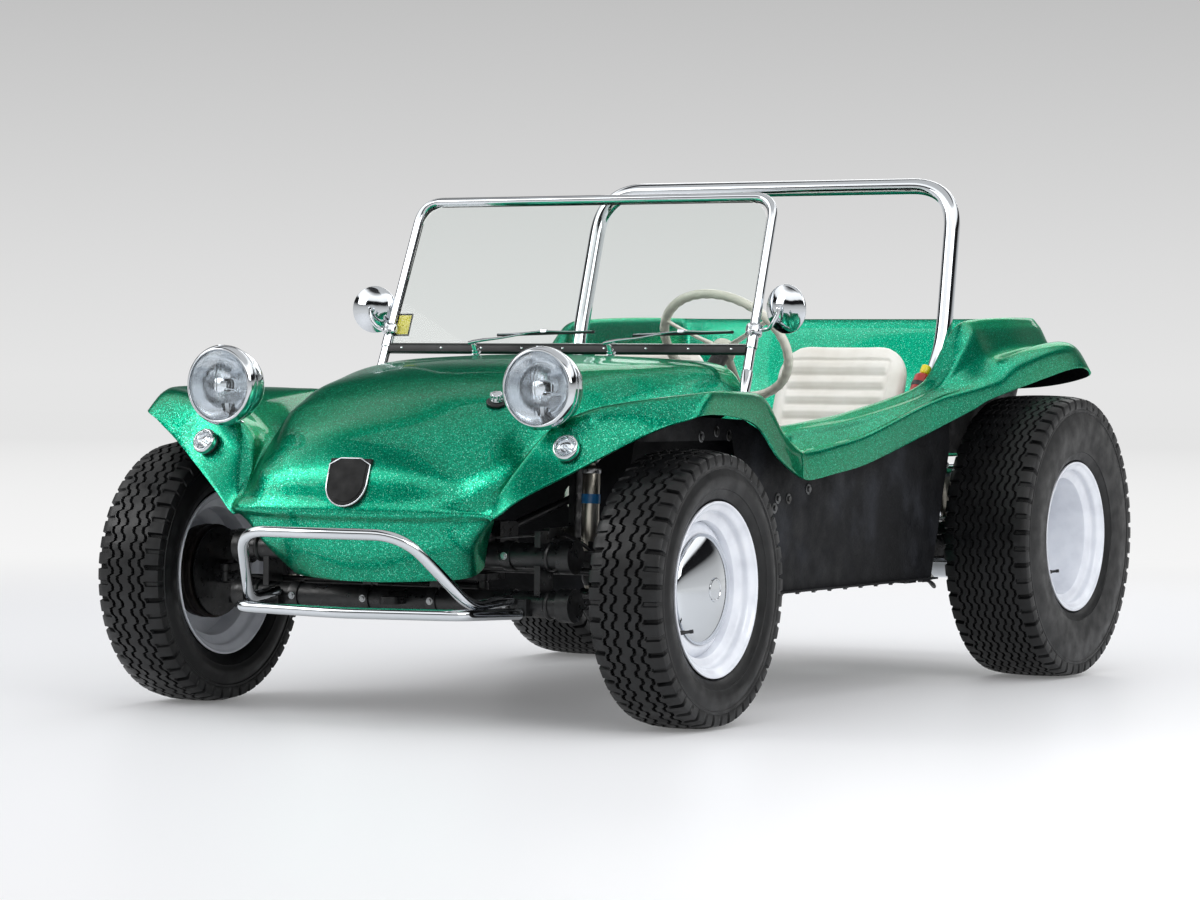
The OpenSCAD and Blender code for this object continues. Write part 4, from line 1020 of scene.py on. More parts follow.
@dataclass
class Wheel:
    """One road wheel: pressed steel rim, iron drum, hub cap and tyre, on its own axle."""
    end: str
    side: Side
    tyre: Tyre
    rim_w: float
    disc: float
    bore: float
    cap_r: float
    cap_rise: float
    cap_foot: float
    centre: tuple[float, float, float]
    lip: float = 208.0
    seat: float = 191.7

    @property
    def at(self) -> Matrix:
        """Axle matrix: the piece's x points outward on either side of the car."""
        x, y, z = self.centre
        return shift(x * self.side.value, y, z) @ Matrix.Diagonal((self.side.value, 1, 1, 1))

    @property
    def spindle(self) -> Matrix:
        """The same place with z along the axle, for turned shapes."""
        return self.at @ spin(90, "Y")

    def rim(self) -> None:
        """The rim, its dished disc with the drum behind it, and the valve."""
        b, s, lip = self.rim_w / 2, self.seat, self.lip
        barrel = [(lip, b), (lip, b - 5), (lip - 3, b - 9), (s + 3, b - 12), (s, b - 16),
                  (s + 0.5, b - 30), (s - 4, b - 35), (s - 22, b - 43), (s - 24, b - 48),
                  (s - 24, -b + 48), (s - 22, -b + 43), (s - 4, -b + 35), (s, -b + 30),
                  (s, -b + 16), (s + 3, -b + 12), (lip - 3, -b + 9), (lip, -b + 5), (lip, -b),
                  (lip - 5, -b), (lip - 8, -b + 6), (s - 5, -b + 13), (s - 7, -b + 18),
                  (s - 7, -b + 29), (s - 11, -b + 33), (s - 29, -b + 40), (s - 31, -b + 46),
                  (s - 31, b - 46), (s - 29, b - 40), (s - 11, b - 33), (s - 7, b - 29),
                  (s - 7, b - 18), (s - 5, b - 13), (lip - 8, b - 6), (lip - 5, b)]
        made = Blank().ring(barrel, 84, 0, self.spindle)
        d = self.disc
        disc = [(70, d), (70, d + 5), (108, d + 5), (118, d + 9), (124, d + 17), (130, d + 21),
                (138, d + 21), (146, d + 17), (s - 31, d + 6), (s - 31, d + 1), (144, d + 11),
                (134, d + 15), (128, d + 14), (122, d + 9), (112, d)]
        made.ring(disc, 84, 0, self.spindle)
        for turn in range(0, 360, 72):
            spot = self.spindle @ spin(turn) @ shift(102.5, 0, d + 5)
            made.bolt(spot, 9, 2)
        drum = [(self.bore + 1, d - 46), (32, d - 46), (34, d - 10), (106, d - 10), (108, d - 54),
                (113, d - 55.5), (118, d - 55.5), (118, d - 44), (115, d - 42), (115, d - 34),
                (118, d - 32), (118, d - 20), (115, d - 18), (115, d - 4), (112, d - 0.5),
                (42, d - 0.5), (39, d + 3), (39, d + 20), (36, d + 22), (self.bore + 1, d + 22)]
        made.ring(drum, 64, 1, self.spindle)
        stem = self.spindle @ spin(-52) @ shift(s - 33, 0, b - 46)
        valve = [(0.1, 0), (8, 0), (8, 3), (5.5, 5), (5, 24), (3.6, 26), (3.6, 36), (4.6, 37),
                 (4.6, 45), (0.1, 46)]
        made.turned(valve, 20, 3, at=stem @ spin(-14, "Y"))
        name = f"rim_{self.end}_{self.side.label}"
        made.piece(name, [ENAMEL, IRON, ZINC, SEAL], Slot.WHEEL, [name], self.body)

    def cap(self) -> None:
        """The domed bright cap: a rolled foot, a shallow step and a raised blank boss."""
        r, rise, foot = self.cap_r, self.cap_rise, self.disc + self.cap_foot

        def dome(k: float) -> float:
            return foot + 3 + (rise - 6) * (1 - k**2)**0.7

        top = [(r * math.sin(t), dome(math.sin(t))) for t in np.linspace(0.26, 1.5, 40)]
        edge = [(r, foot + 2.6), (r, foot), (r - 3, foot), (r - 5, foot + 3)]
        under = [(r * k, dome(k) - 2.5) for k in np.linspace(0.94, 0.05, 14)]
        flat = dome(0.2) + 1.2
        boss = [(0.1, flat + 0.6), (r * 0.1, flat + 0.4), (r * 0.17, flat), (r * 0.18, flat + 1.4),
                (r * 0.2, flat + 1.6), (r * 0.215, flat + 0.8), (r * 0.222, dome(0.222)),
                (r * 0.24, dome(0.24))]
        made = Blank().turned(boss + top + edge + under, 72, 0, at=self.spindle)
        name = f"cap_{self.end}_{self.side.label}"
        made.piece(name, [CHROME], Slot.CHROME, [name], self.body, sharp=30)

    @property
    def body(self) -> str:
        """The frame's body for this wheel."""
        return f"wheel_{self.end}_{self.side.label}"

    def build(self) -> None:
        """Makes the whole wheel."""
        self.tyre.build(f"tyre_{self.end}_{self.side.label}", self.at, self.body)
        self.rim()
        self.cap()


# ------------------------------------------------------------------ lamps and mirrors
@dataclass
class Headlamps:
    """Two free-standing lamps: chrome bowl and bezel, mirror reflector, bulb and fluted lens."""
    diameter: float = 196.0
    centre: tuple[float, float, float] = (447, -255, 796)
    foot: float = 703.5
    flute: float = 9.0

    def build(self) -> None:
        """Makes both lamps as one piece for each finish."""
        r = self.diameter / 2
        at = place(front(*self.centre), (0, -1, 0))
        bowl = [(0.1, -88), (22, -86.5), (46, -79), (67, -64), (81, -45), (90, -22), (94, 0),
                (94.5, 13)]
        metal = Blank().turned(catmull(bowl, 5), 72, 0, at=at)
        bezel = [(93, 10), (r - 1, 11), (r, 16), (r, 22), (r - 2.5, 29), (r - 6, 34.5),
                 (r - 10, 37.5), (r - 13, 36), (r - 12.5, 31), (r - 10, 27), (r - 9, 12)]
        metal.ring(bezel, 72, 0, at, 2)
        metal.ring([(94, 1), (97, 2), (97, 8), (94, 9)], 72, 0, at)
        metal.slab((-7, r - 6, 12), (7, r, 27), 1.5, 0, at)
        neck = place(front(self.centre[0] - 4, self.centre[1] + 30, self.foot))
        rise = self.centre[2] - self.foot
        stand = [(0.1, 0), (23, 0), (24, 2.5), (21, 5), (14, 8), (11.5, 14), (11.5, 17), (17, 18),
                 (17.5, 26), (16, 27), (12, 28), (12, rise - 58), (14, rise - 40), (0.1, rise - 38)]
        metal.turned(stand, 32, 0, at=neck)
        metal.drawn(circle(16.5, 6), 17.5, 27.5, 0, 1.2, neck)
        metal.both().piece("headlamp_shells", [CHROME], Slot.CHROME, ["headlamps"])
        mirror = [(r - 11, 30), (r - 14, 18), (r - 24, 0), (r - 42, -22), (40, -33), (22, -41),
                  (13, -44), (13, -46)]
        inside = Blank().turned(catmull(mirror, 4), 72, 0, at=at)
        bulb = [(0.1, 4), (7, 2), (11, -8), (9, -22), (7, -30), (12, -34), (14, -44), (0.1, -45)]
        inside.turned(catmull(bulb, 3), 24, 1, at=at)
        inside.turned(softened([(0.1, -6), (17, -8), (17.5, -10), (0.1, -11)], 1, False), 24, 0,
                      at=at @ shift(0, 0, 22))
        for turn in (90, 210, 330):
            arm = at @ spin(turn)
            inside.slab((9, -1.5, -34), (18, 1.5, 13), 0.6, 0, arm)
        inside.both().piece("headlamp_reflectors", [REFLECTOR, LAMP_GLASS], Slot.CHROME, sharp=50)
        self.lens(at, r - 11)

    def lens(self, at: Matrix, r: float) -> None:
        """The domed lens, flat flutes pressed into its inner face."""
        k = np.concatenate([np.linspace(0.002, 0.93, 26), [0.97, 1.0]])
        a = whole_turn(108)[:, None]
        x, y = r * k * np.cos(a), r * k * np.sin(a)
        outer = np.broadcast_to(47.5 - 15 * k**2.3, x.shape)
        depth = 3.2 + 1.3 * np.abs(np.sin(math.pi * x / self.flute)) * (np.abs(y) < r * 0.8)
        depth = depth + 0.8 * np.abs(np.sin(math.pi * y / (self.flute * 2.6))) * (k < 0.96)
        glass = Blank().grid(np.stack([x, y, outer], 2), 0, False, True, at)
        glass.grid(np.stack([x, y, outer - depth], 2)[:, ::-1], 0, False, True, at)
        rim = np.stack([np.stack([x[:, -1], y[:, -1], outer[:, -1]], 1),
                        np.stack([x[:, -1], y[:, -1], (outer - depth)[:, -1]], 1)], 1)
        glass.grid(rim, 0, False, True, at)
        glass.both().piece("headlamp_lenses", [LAMP_GLASS], Slot.LAMP, sharp=30)


@dataclass
class SmallLamps:
    """Round turn signals on the wings and round red lamps on the tail."""
    signal_at: tuple[float, float, float] = (506.4, -243, 652.1)
    tail_at: tuple[float, float, float] = (625, 369, 872)

    def signals(self) -> None:
        """Black rubber foot, chrome ring, reflector and ribbed clear lens."""
        at = shift(*front(*self.signal_at)) @ spin(7) @ spin(65, "X")
        body = Blank().turned(softened([(0.1, 0), (29.5, 0), (31, 4), (29, 8), (0.1, 8)], 1, False),
                              48, 1, at=at)
        ring = [(27, 7), (31.6, 8), (32.4, 14), (31.8, 21), (29, 25), (25.4, 26), (24, 24),
                (25, 20), (25, 10)]
        body.ring(ring, 48, 0, at, 2)
        body.turned(catmull([(24, 22), (20, 14), (11, 10.5), (0.1, 10)], 4), 36, 0, at=at)
        body.turned(catmull([(0.1, 27), (4, 25.5), (5.5, 20), (4, 14), (4, 10)], 3), 18, 2, at=at)
        body.both().piece("signal_bodies", [CHROME, SEAL, LAMP_GLASS], Slot.CHROME,
                          ["turn_signals"])
        lens = []
        for k in range(15):
            rise = 27 + 8.6 * math.cos(k / 14 * 1.35)
            lens.append((24.4 * math.sin(k / 14 * math.pi / 2) + 0.1,
                         rise + (0.7 if k % 2 and k > 2 else 0)))
        lens += [(24.4, 24), (23.2, 24)] + [(0.95 * x, z - 2.6) for x, z in lens[::-1]]
        Blank().turned(lens, 48, 0, at=at).both().piece("signal_lenses", [LAMP_GLASS], Slot.LAMP)

    def tails(self) -> None:
        """Chrome ring, rubber foot and stepped red lens."""
        at = shift(*rear(*self.tail_at)) @ spin(-18) @ spin(-84, "X")
        foot = Blank().turned(softened([(0.1, 0), (40, 0), (41.5, 3), (39, 6), (0.1, 6)], 1, False),
                              48, 1, at=at)
        ring = [(37, 5), (41, 6), (42, 11), (41, 16), (37, 19), (34.5, 18), (35.5, 14), (35.5, 8)]
        foot.ring(ring, 60, 0, at, 2)
        foot.both().piece("tail_rings", [CHROME, SEAL], Slot.CHROME)
        lens = [(0.1, 34), (12, 33.4), (12.4, 31), (15, 31), (15.4, 32.4), (24, 30), (24.4, 27.5),
                (27, 27.5), (27.4, 28.4), (33, 24), (35.5, 19), (35.5, 10), (0.1, 9)]
        Blank().turned(lens, 60, 0, at=at).both().piece("tail_lenses", [RED_LENS], Slot.LENS,
                ["tail_lamps"])

    def build(self) -> None:
        """Makes all four."""
        self.signals()
        self.tails()


@dataclass
class Windscreen:
    """Polished frame, clear glass, black foot strip, wipers and the mirrors on the posts."""
    foot: tuple[float, float, float] = (545, 562, 774)
    top: tuple[float, float, float] = (526, 768, 1285)
    tube_d: float = 24.0
    corner: float = 62.0
    strip_z: float = 895.0
    strip_h: float = 27.0
    glass_t: float = 5.0
    mirror_at: tuple[float, float, float] = (610, 660, 998)
    mirror_r: float = 62.0
    wiper_x: tuple[float, float] = (-235, 165)

    @property
    def rake(self) -> float:
        """Lean of the glass from upright, in radians."""
        return math.atan2(self.top[1] - self.foot[1], self.top[2] - self.foot[2])

    @property
    def plane(self) -> Matrix:
        """Matrix with y up the glass and z out of its front."""
        return shift(*front(0, self.foot[1], self.foot[2])) @ Matrix.Rotation(
            math.pi / 2 - self.rake, 4, "X")

    def half(self, up: float) -> float:
        """Half width between the posts, a distance up the glass."""
        run = float(np.linalg.norm(np.subtract(self.top, self.foot)))
        return self.foot[0] + (self.top[0] - self.foot[0]) * up / run

    def frame(self) -> None:
        """The bent frame, its inner channel, the foot brackets and the post sleeves."""
        left, high = front(*self.foot), front(*self.top)
        path = bent([left, high, flip(high), flip(left)], self.corner, 14)
        metal = Blank().tube(path, self.tube_d / 2, 28)
        for side in (1, -1):
            post = [left, high] if side > 0 else [flip(left), flip(high)]
            way = unit(post[1] - post[0])
            sleeve = [(self.tube_d / 2, 0), (self.tube_d / 2 + 2.6, 1.5),
                      (self.tube_d / 2 + 2.6, 34), (self.tube_d / 2, 36)]
            metal.turned(sleeve, 28, 0, at=place(post[0] + way * 132, way))
            shoe = [(0.1, -2), (self.tube_d / 2 + 1.5, -2), (self.tube_d / 2 + 2.5, 2),
                    (self.tube_d / 2 + 2, 70), (self.tube_d / 2, 74)]
            metal.turned(shoe, 28, 0, at=place(post[0], way))
        inner = self.tube_d / 2 - 0.6
        gap = [left + [-inner, 0, 0], high + [-inner, 0, -inner], flip(high) + [inner, 0, -inner],
               flip(left) + [inner, 0, 0]]
        run = bent(gap, self.corner - inner, 14)
        metal.tube(run, 3.4, 10, 1)
        metal.piece("windscreen_surround", [CHROME, SEAL], Slot.CHROME, ["windscreen_frame"])

    def glass(self) -> None:
        """The pane, with eased edges and round top corners."""
        run = float(np.linalg.norm(np.subtract(self.top, self.foot)))
        low = (self.strip_z - self.foot[2]) / math.cos(self.rake) + self.strip_h / 2 + 0.4
        edge = self.tube_d / 2 + 0.4
        wide, narrow, high = self.half(low) - edge, self.half(run) - edge, run - edge - 0.6
        corner = arc(narrow - self.corner, high - self.corner, self.corner, 0, QUARTER, 12)
        outline = two_sided([(wide, low)] + corner)
        Blank().drawn(outline, -self.glass_t / 2, self.glass_t / 2, 0, 1.0, self.plane).piece(
            "windscreen_pane", [GLASS], Slot.SCREEN, ["windscreen_glass"])
        back = -self.glass_t / 2
        label = Blank().slab((-536, low + 22, back - 0.9), (-480, low + 86, back - 0.2), 6, 0,
                             self.plane)
        label.slab((-531, low + 27, back - 1.2), (-485, low + 81, back - 0.7), 4, 1, self.plane)
        label.slab((-531, low + 27, back - 0.25), (-485, low + 81, back - 0.1), 4, 1, self.plane)
        label.piece("windscreen_label", [DIAL_BLACK, YELLOW_CAP], Slot.SEAL)

    def strip(self) -> None:
        """The black rubber strip that holds the foot of the glass: a beaded extrusion."""
        up = (self.strip_z - self.foot[2]) / math.cos(self.rake)
        h = self.strip_h / 2
        profile = softened([(-h, -7), (-h, 5), (-h + 3, 8.5), (-h + 6, 7), (h - 7, 6), (h - 4, 8.5),
                            (h, 5), (h, -6), (h - 5, -9), (-h + 5, -9)], 2)
        half = self.half(up) - self.tube_d / 2 - 0.3
        xs = np.linspace(-half, half, 40)
        rows = np.array([[(x, up + p[0], p[1]) for p in profile] for x in xs])
        strip = Blank().grid(rows, 0, True, at=self.plane).ends(*rows.shape[:2])
        for x in np.linspace(-half + 40, half - 40, 9):
            strip.turned([(0.1, 1.8), (2.5, 1.4), (3.4, 0), (0.1, -0.6)], 14, 1,
                         at=self.plane @ shift(x, up, 6.6))
        strip.piece("windscreen_strip", [SEAL, CHROME], Slot.SEAL, ["windscreen_seal"])

    def mirrors(self) -> None:
        """Round heads on bent arms: domed back, rolled rim, glass, ball joint and post clamp."""
        at = shift(*front(*self.mirror_at)) @ spin(-12) @ spin(-88, "X")
        r = self.mirror_r
        back = [(0.1, -21), (14, -20.4), (30, -16.5), (44, -10), (54, -4), (r - 2.5, 0), (r, 3),
                (r - 0.5, 7.5), (r - 3.5, 8.5), (r - 5, 6)]
        head = Blank().turned(catmull(back, 4), 60, 0, at=at)
        head.turned([(r - 4, 5.5), (0.1, 6.2)], 60, 1, at=at)
        socket = np.array(at) @ [0, 0, -21, 1]
        head.turned([(0.1, -33), (5, -32), (8, -28), (8, -24), (6, -20), (0.1, -19)], 24, 0, at=at)
        base = front(552, 634, 944)
        reach = catmull([base, base + [24, 0, 4], base + [40, -6, 18], socket[:3] + [-2, -9, -14],
                         socket[:3] + [0, -8, 0]], 6)
        head.tube(reach, 5.2, 14)
        post = unit(np.subtract(self.top, self.foot))
        clamp_at = front(*self.foot) + post * (944 - self.foot[2]) / post[2]
        collar = [(12.3, -13), (20, -13), (21.5, -11), (21.5, 11), (20, 13), (12.3, 13)]
        head.ring(collar, 30, 0, place(clamp_at, post))
        for z in (-6, 6):
            head.bolt(place(clamp_at + post * z + [0, -21, 0], (0, -1, 0)), 4.4)
        head.both().piece("mirror_heads", [CHROME, MIRROR], Slot.CHROME, ["mirrors"])

    def wipers(self) -> None:
        """Spindle, sprung arm, blade carrier and rubber, twice."""
        made = Blank()
        for x in self.wiper_x:
            nut = place(front(x, 566, 881), (0, -0.48, 0.87))
            made.turned([(0.1, 0), (13, 0), (13, 3), (9, 5), (9, 12), (7, 13), (7, 30), (6, 32),
                         (0.1, 33)], 24, 0, at=nut)
            made.drawn(circle(9.5, 6), 5, 11, 0, 1, nut)
            elbow, mid, tip = front(x, 549, 912), front(x + 70, 566, 922), front(x + 175, 588, 940)
            made.tube([elbow - [12, 4, 3], elbow, elbow + [26, 6, 5], mid, tip],
                      [6.5, 8, 7, 4.6, 3.4], 14, flat=0.62)
            a, b = front(x + 60, 574, 932.5), front(x + 330, 592, 941.5)
            made.tube(catmull([a, a + [0.25, 0.25, 0.25] * (b - a), (a + b) / 2 + [0, -3, 3],
                               b - (b - a) * 0.25, b], 5),
                      np.interp(np.linspace(0, 1, 21), [0, 0.5, 1], [2.4, 4.6, 2.4]), 12, flat=0.6)
            made.slab((-9, -5, -4), (9, 5, 6), 1.5, 0,
                      place((a + b) / 2 + [0, -4, 3], (0, -1, 0.3)))
            made.tube([a + [-4, 3, -2.5], b + [4, 3, -2.5]], 2.6, 8, 1, flat=1.5)
        made.piece("wiper_sets", [CHROME, SEAL], Slot.CHROME, ["wipers"])

    def build(self) -> None:
        """Makes the whole screen."""
        self.frame()
        self.glass()
        self.strip()
        self.mirrors()
        self.wipers()


# ------------------------------------------------------------------ bright tubes
@dataclass
class BrightTubes:
    """Roll hoop and both bumpers, bent from chromed tube."""
    hoop_d: float = HOOP_D
    bumper_d: float = 27.0
    top: float = 1383.4
    front_end: float = 539.7
    rear_end: float = 699.9
    horn_x: float = 375.0

    def hoop(self) -> None:
        """The hoop and its bolted feet."""
        foot = rear(536, -477, PAN_TOP + 8.6)
        left = [foot, rear(*HOOP_BEND), rear(*HOOP_KNEE), rear(572, -324, 974),
                rear(556, -226, self.top - self.hoop_d / 2)]
        path = bent(left + [flip(p) for p in left[::-1]], [55, 36, 36, 130, 130, 36, 36, 55], 14)
        tube = Blank().tube(path, self.hoop_d / 2, 36)
        for side in (1, -1):
            x, y = foot[:2]
            tube.slab((side * x - 40, y - 75, PAN_TOP + 0.3),
                      (side * x + 40, y + 22, PAN_TOP + 8.3), 2, 1)
            for dx, dy in ((-28, -63), (28, -63), (-28, -40), (28, -40)):
                tube.bolt(place((side * x + dx, y + dy, PAN_TOP + 8.3)), 8, 2)
        tube.piece("hoop_tube", [CHROME, BLACK, ZINC], Slot.CHROME, ["roll_hoop"])

    def bumpers(self) -> None:
        """The front loop with its lower bar, and the rear loop round the engine."""
        r = self.bumper_d / 2
        y = -self.front_end + r
        upper = [front(330, -205, 298), front(310, -352, 288), front(226, y + 14, 456),
                 front(0, y, 456)]
        lower = [front(352, -200, 266), front(310, -402, 270), front(0, -418, 266)]
        nose = Blank().tube(bent(over(upper), [42, 78, 42, 78, 42], 12), r, 28)
        nose.tube(bent(over(lower), 42, 12), r, 28)
        nose.piece("front_bumper_bars", [CHROME], Slot.CHROME, ["front_bumper"])
        y = self.rear_end - r
        upper = [rear(self.horn_x, 61.5, 446), rear(self.horn_x, y - 60, 470), rear(330, y, 560),
                 rear(0, y, 560)]
        lower = [rear(self.horn_x, 180, 440), rear(self.horn_x, 260, 352),
                 rear(self.horn_x, y - 40, 352), rear(0, y - 40, 352)]
        tail = Blank().tube(bent(over(upper), 40, 12), r, 28)
        tail.tube(bent(over(lower), 40, 12), r, 28)
        tail.piece("rear_bumper_bars", [CHROME], Slot.CHROME, ["rear_bumper"])

    def build(self) -> None:
        """Makes all three."""
        self.hoop()
        self.bumpers()


# ------------------------------------------------------------------ seats and controls
@dataclass
class Seat:
    """A low bucket seat in white vinyl: sewn cross channels inside a plain rolled border."""
    side: Side
    x: float = 310.0
    half_w: float = 210.0
    lean: float = 20.0
    squab_h: float = 538.0
    squab_t: float = 90.0
    squab_corner: float = 96.0
    pitch: float = 43.0
    seam: float = 5.0
    inset: float = 8.0
    swell_cap: float = 9.0
    voxel: float = 10.5
    pressure: float = 4.0
    frames: int = 20
    channel: float = 5.5
    stitch: float = 5.0
    flare: float = 8.0
    side_fade: float = 10.0
    end_fade: float = 8.0
    face_fade: float = 14.0

    @property
    def squab_at(self) -> Matrix:
        """Matrix with y up the squab and z out of its front face."""
        return shift(self.side.value * self.x, BEHIND_SEATS - 87, PAN_TOP + 110) @ spin(90
                - self.lean, "X")

    @property
    def cushion_at(self) -> Matrix:
        """Matrix with y from front to back of the cushion and z up."""
        return shift(self.side.value * self.x, FRONT_Y + 1020, PAN_TOP + 50)

    def pad(self, name: str, outline: Any, low: Any, high: Any, at: Matrix) -> bpy.types.Object:
        """A stuffed pad: an eased block, remeshed, then blown up as cloth.

        Args:
            name: The piece's name.
            outline: Its outline, in its own plane.
            low: Height of its underside at the front and at the back edge.
            high: Height of its upper face at the front and at the back edge.
            at: Where it goes.

        Returns:
            The pad as a mesh object in the car's frame.
        """
        p = np.asarray(outline, float)
        middle = p.mean(0)
        span = p[:, 1].min(), p[:, 1].max()
        rings = []
        for share, lift in ((0.90, 0.0), (0.965, 0.12), (1.0, 0.38), (1.0, 0.62), (0.965, 0.88),
                            (0.90, 1.0)):
            q = middle + (p - middle) * share * (1 - self.inset / self.half_w)
            t = (q[:, 1] - span[0]) / (span[1] - span[0])
            a, b = np.interp(t, [0, 1], low) + self.inset * 0.6, np.interp(t, [0, 1],
                    high) - self.inset * 0.6
            rings.append(np.column_stack([q, a + (b - a) * lift]))
        block = Blank().grid(np.array(rings), 0, True, at=at).ends(len(rings), len(p))
        thing = linked(name, block.mesh(name))
        remesh = thing.modifiers.new("even_mesh", "REMESH")
        remesh.mode = "VOXEL"
        remesh.voxel_size = self.voxel * MM
        settle(thing)
        self.inflate(thing)
        return thing

    def inflate(self, thing: bpy.types.Object) -> None:
        """Blows the pad up with Cloth, and holds each point near where it began."""
        count = len(thing.data.vertices)
        start = np.empty(count * 3)
        thing.data.vertices.foreach_get("co", start)
        cloth = thing.modifiers.new("stuffing", "CLOTH")
        cloth.settings.use_pressure = True
        cloth.settings.uniform_pressure_force = self.pressure
        cloth.settings.effector_weights.gravity = 0
        cloth.settings.quality = 5
        cloth.point_cache.frame_start, cloth.point_cache.frame_end = 1, self.frames
        for step in range(1, self.frames + 1):
            bpy.context.scene.frame_set(step)
        graph = bpy.context.evaluated_depsgraph_get()
        blown = thing.evaluated_get(graph).to_mesh()
        end = np.empty(count * 3)
        blown.vertices.foreach_get("co", end)
        thing.modifiers.clear()
        bpy.context.scene.frame_set(1)
        start, end = start.reshape(-1, 3), end.reshape(-1, 3)
        move = end - start
        far = np.linalg.norm(move, axis=1, keepdims=True)
        move *= np.minimum(1, self.swell_cap * MM / np.maximum(far, 1e-9))
        thing.data.vertices.foreach_set("co", (start + move).ravel())
        thing.data.update()

    def sew(self, thing: bpy.types.Object, at: Matrix, lines: Sequence[float], reach: float,
            ends: tuple[float, float], face: float) -> None:
        """Draws the cross channels and the seam round them into the pad's face.

        Args:
            thing: The pad.
            at: The pad's own matrix.
            lines: Heights of the sewn lines.
            reach: How far the lines run to each side.
            ends: The lowest and highest end of the channelled panel.
            face: Height above which a point is on the pad's face.
        """
        smooth = thing.modifiers.new("round", "CORRECTIVE_SMOOTH")
        smooth.iterations = 4
        smooth.use_only_smooth = True
        finer = thing.modifiers.new("finer", "SUBSURF")
        finer.levels = finer.render_levels = 1
        settle(thing)
        count = len(thing.data.vertices)
        co = np.empty(count * 3)
        thing.data.vertices.foreach_get("co", co)
        co = co.reshape(-1, 3)
        own = np.array(at.inverted())
        q = co / MM @ own[:3, :3].T + own[:3, 3]
        x, y, z = q.T
        facing = np.clip((z - face) / self.face_fade, 0, 1)
        low, high, fade = *ends, self.end_fade
        width = reach + self.flare * np.clip((y - low) / (high - low), 0, 1)
        inside = np.clip((width - np.abs(x)) / self.side_fade, 0, 1)
        inside *= np.clip((y - low + fade / 2) / fade, 0, 1) * np.clip((high + fade / 2 - y) / fade,
                0, 1)
        nearest = np.min(np.abs(y[:, None] - np.asarray(lines)[None]), axis=1)
        bulge = self.channel * np.cos(np.clip(nearest / self.pitch * 2, 0, 1) * math.pi / 2)
        drop = inside * (bulge + self.stitch * np.exp(-(nearest / self.seam)**2))
        side_seam = np.where((y > low) & (y < high), np.abs(np.abs(x) - width), np.inf)
        top_seam = np.where(np.abs(x) > width, np.inf, np.abs(y - high))
        drop += self.channel * np.exp(-(np.minimum(side_seam, top_seam) / (self.seam * 0.9))**2)
        normal = np.array(at)[:3, 2]
        co -= (drop * facing)[:, None] * MM * normal
        thing.data.vertices.foreach_set("co", co.ravel())
        thing.data.update()
        thing.data.shade_smooth()

    def build(self) -> None:
        """Makes the squab, and the cushion with its base."""
        w, h = self.half_w, self.squab_h
        r = self.squab_corner
        corner = arc(w - r, h - r, r, 0, QUARTER, 14)
        outline = two_sided([(w - 25, 0), (w - 8, 40), (w, 130), (w, h - r - 60)] + corner)
        name = f"seat_{self.side.label}"
        squab = self.pad(f"{name}_squab", outline, (4, 16), (self.squab_t, self.squab_t - 8),
                         self.squab_at)
        top = h - 62
        lines = np.arange(top - self.pitch * 9.0, top, self.pitch)
        self.sew(squab, self.squab_at, lines, w - 66, (30, top), self.squab_t * 0.55)
        hand_over(squab, [VINYL], Slot.VINYL, [name])
        outline = two_sided(arc(w - 50, 50, 50, -QUARTER, 0, 8) + arc(w - 60, 360, 60, 0, QUARTER,
                8))
        cushion = self.pad(f"{name}_cushion", outline, (12, 4), (138, 90), self.cushion_at)
        lines = np.arange(90, 400, self.pitch)
        self.sew(cushion, self.cushion_at, lines, w - 62, (62, 400), 60)
        hand_over(cushion, [VINYL], Slot.VINYL)
        self.base(name)

    def base(self, name: str) -> None:
        """The sheet steel plinth with its slide rails and bolts."""
        x, y = self.side.value * self.x, FRONT_Y + 1060
        plinth = Blank().slab((x - 150, y, PAN_TOP + 18), (x + 150, y + 330, PAN_TOP + 58), 8, 0)
        for dx in (-118, 118):
            plinth.slab((x + dx - 17, y - 6, PAN_TOP + 0.4), (x + dx + 17, y + 336, PAN_TOP + 14),
                        3, 0)
            plinth.slab((x + dx - 11, y + 6, PAN_TOP + 12), (x + dx + 11, y + 324, PAN_TOP + 20), 2,
                        1)
            for dy in (12, 318):
                plinth.bolt(place((x + dx, y + dy, PAN_TOP + 14)), 6, 1)
        handle = [(x - 90, y + 4, PAN_TOP + 30), (x - 90, y - 22, PAN_TOP + 30),
                  (x - 20, y - 26, PAN_TOP + 32)]
        plinth.tube(bent(handle, 10), 4, 12, 1)
        plinth.piece(f"{name}_base", [BLACK, ZINC], Slot.BLACK)


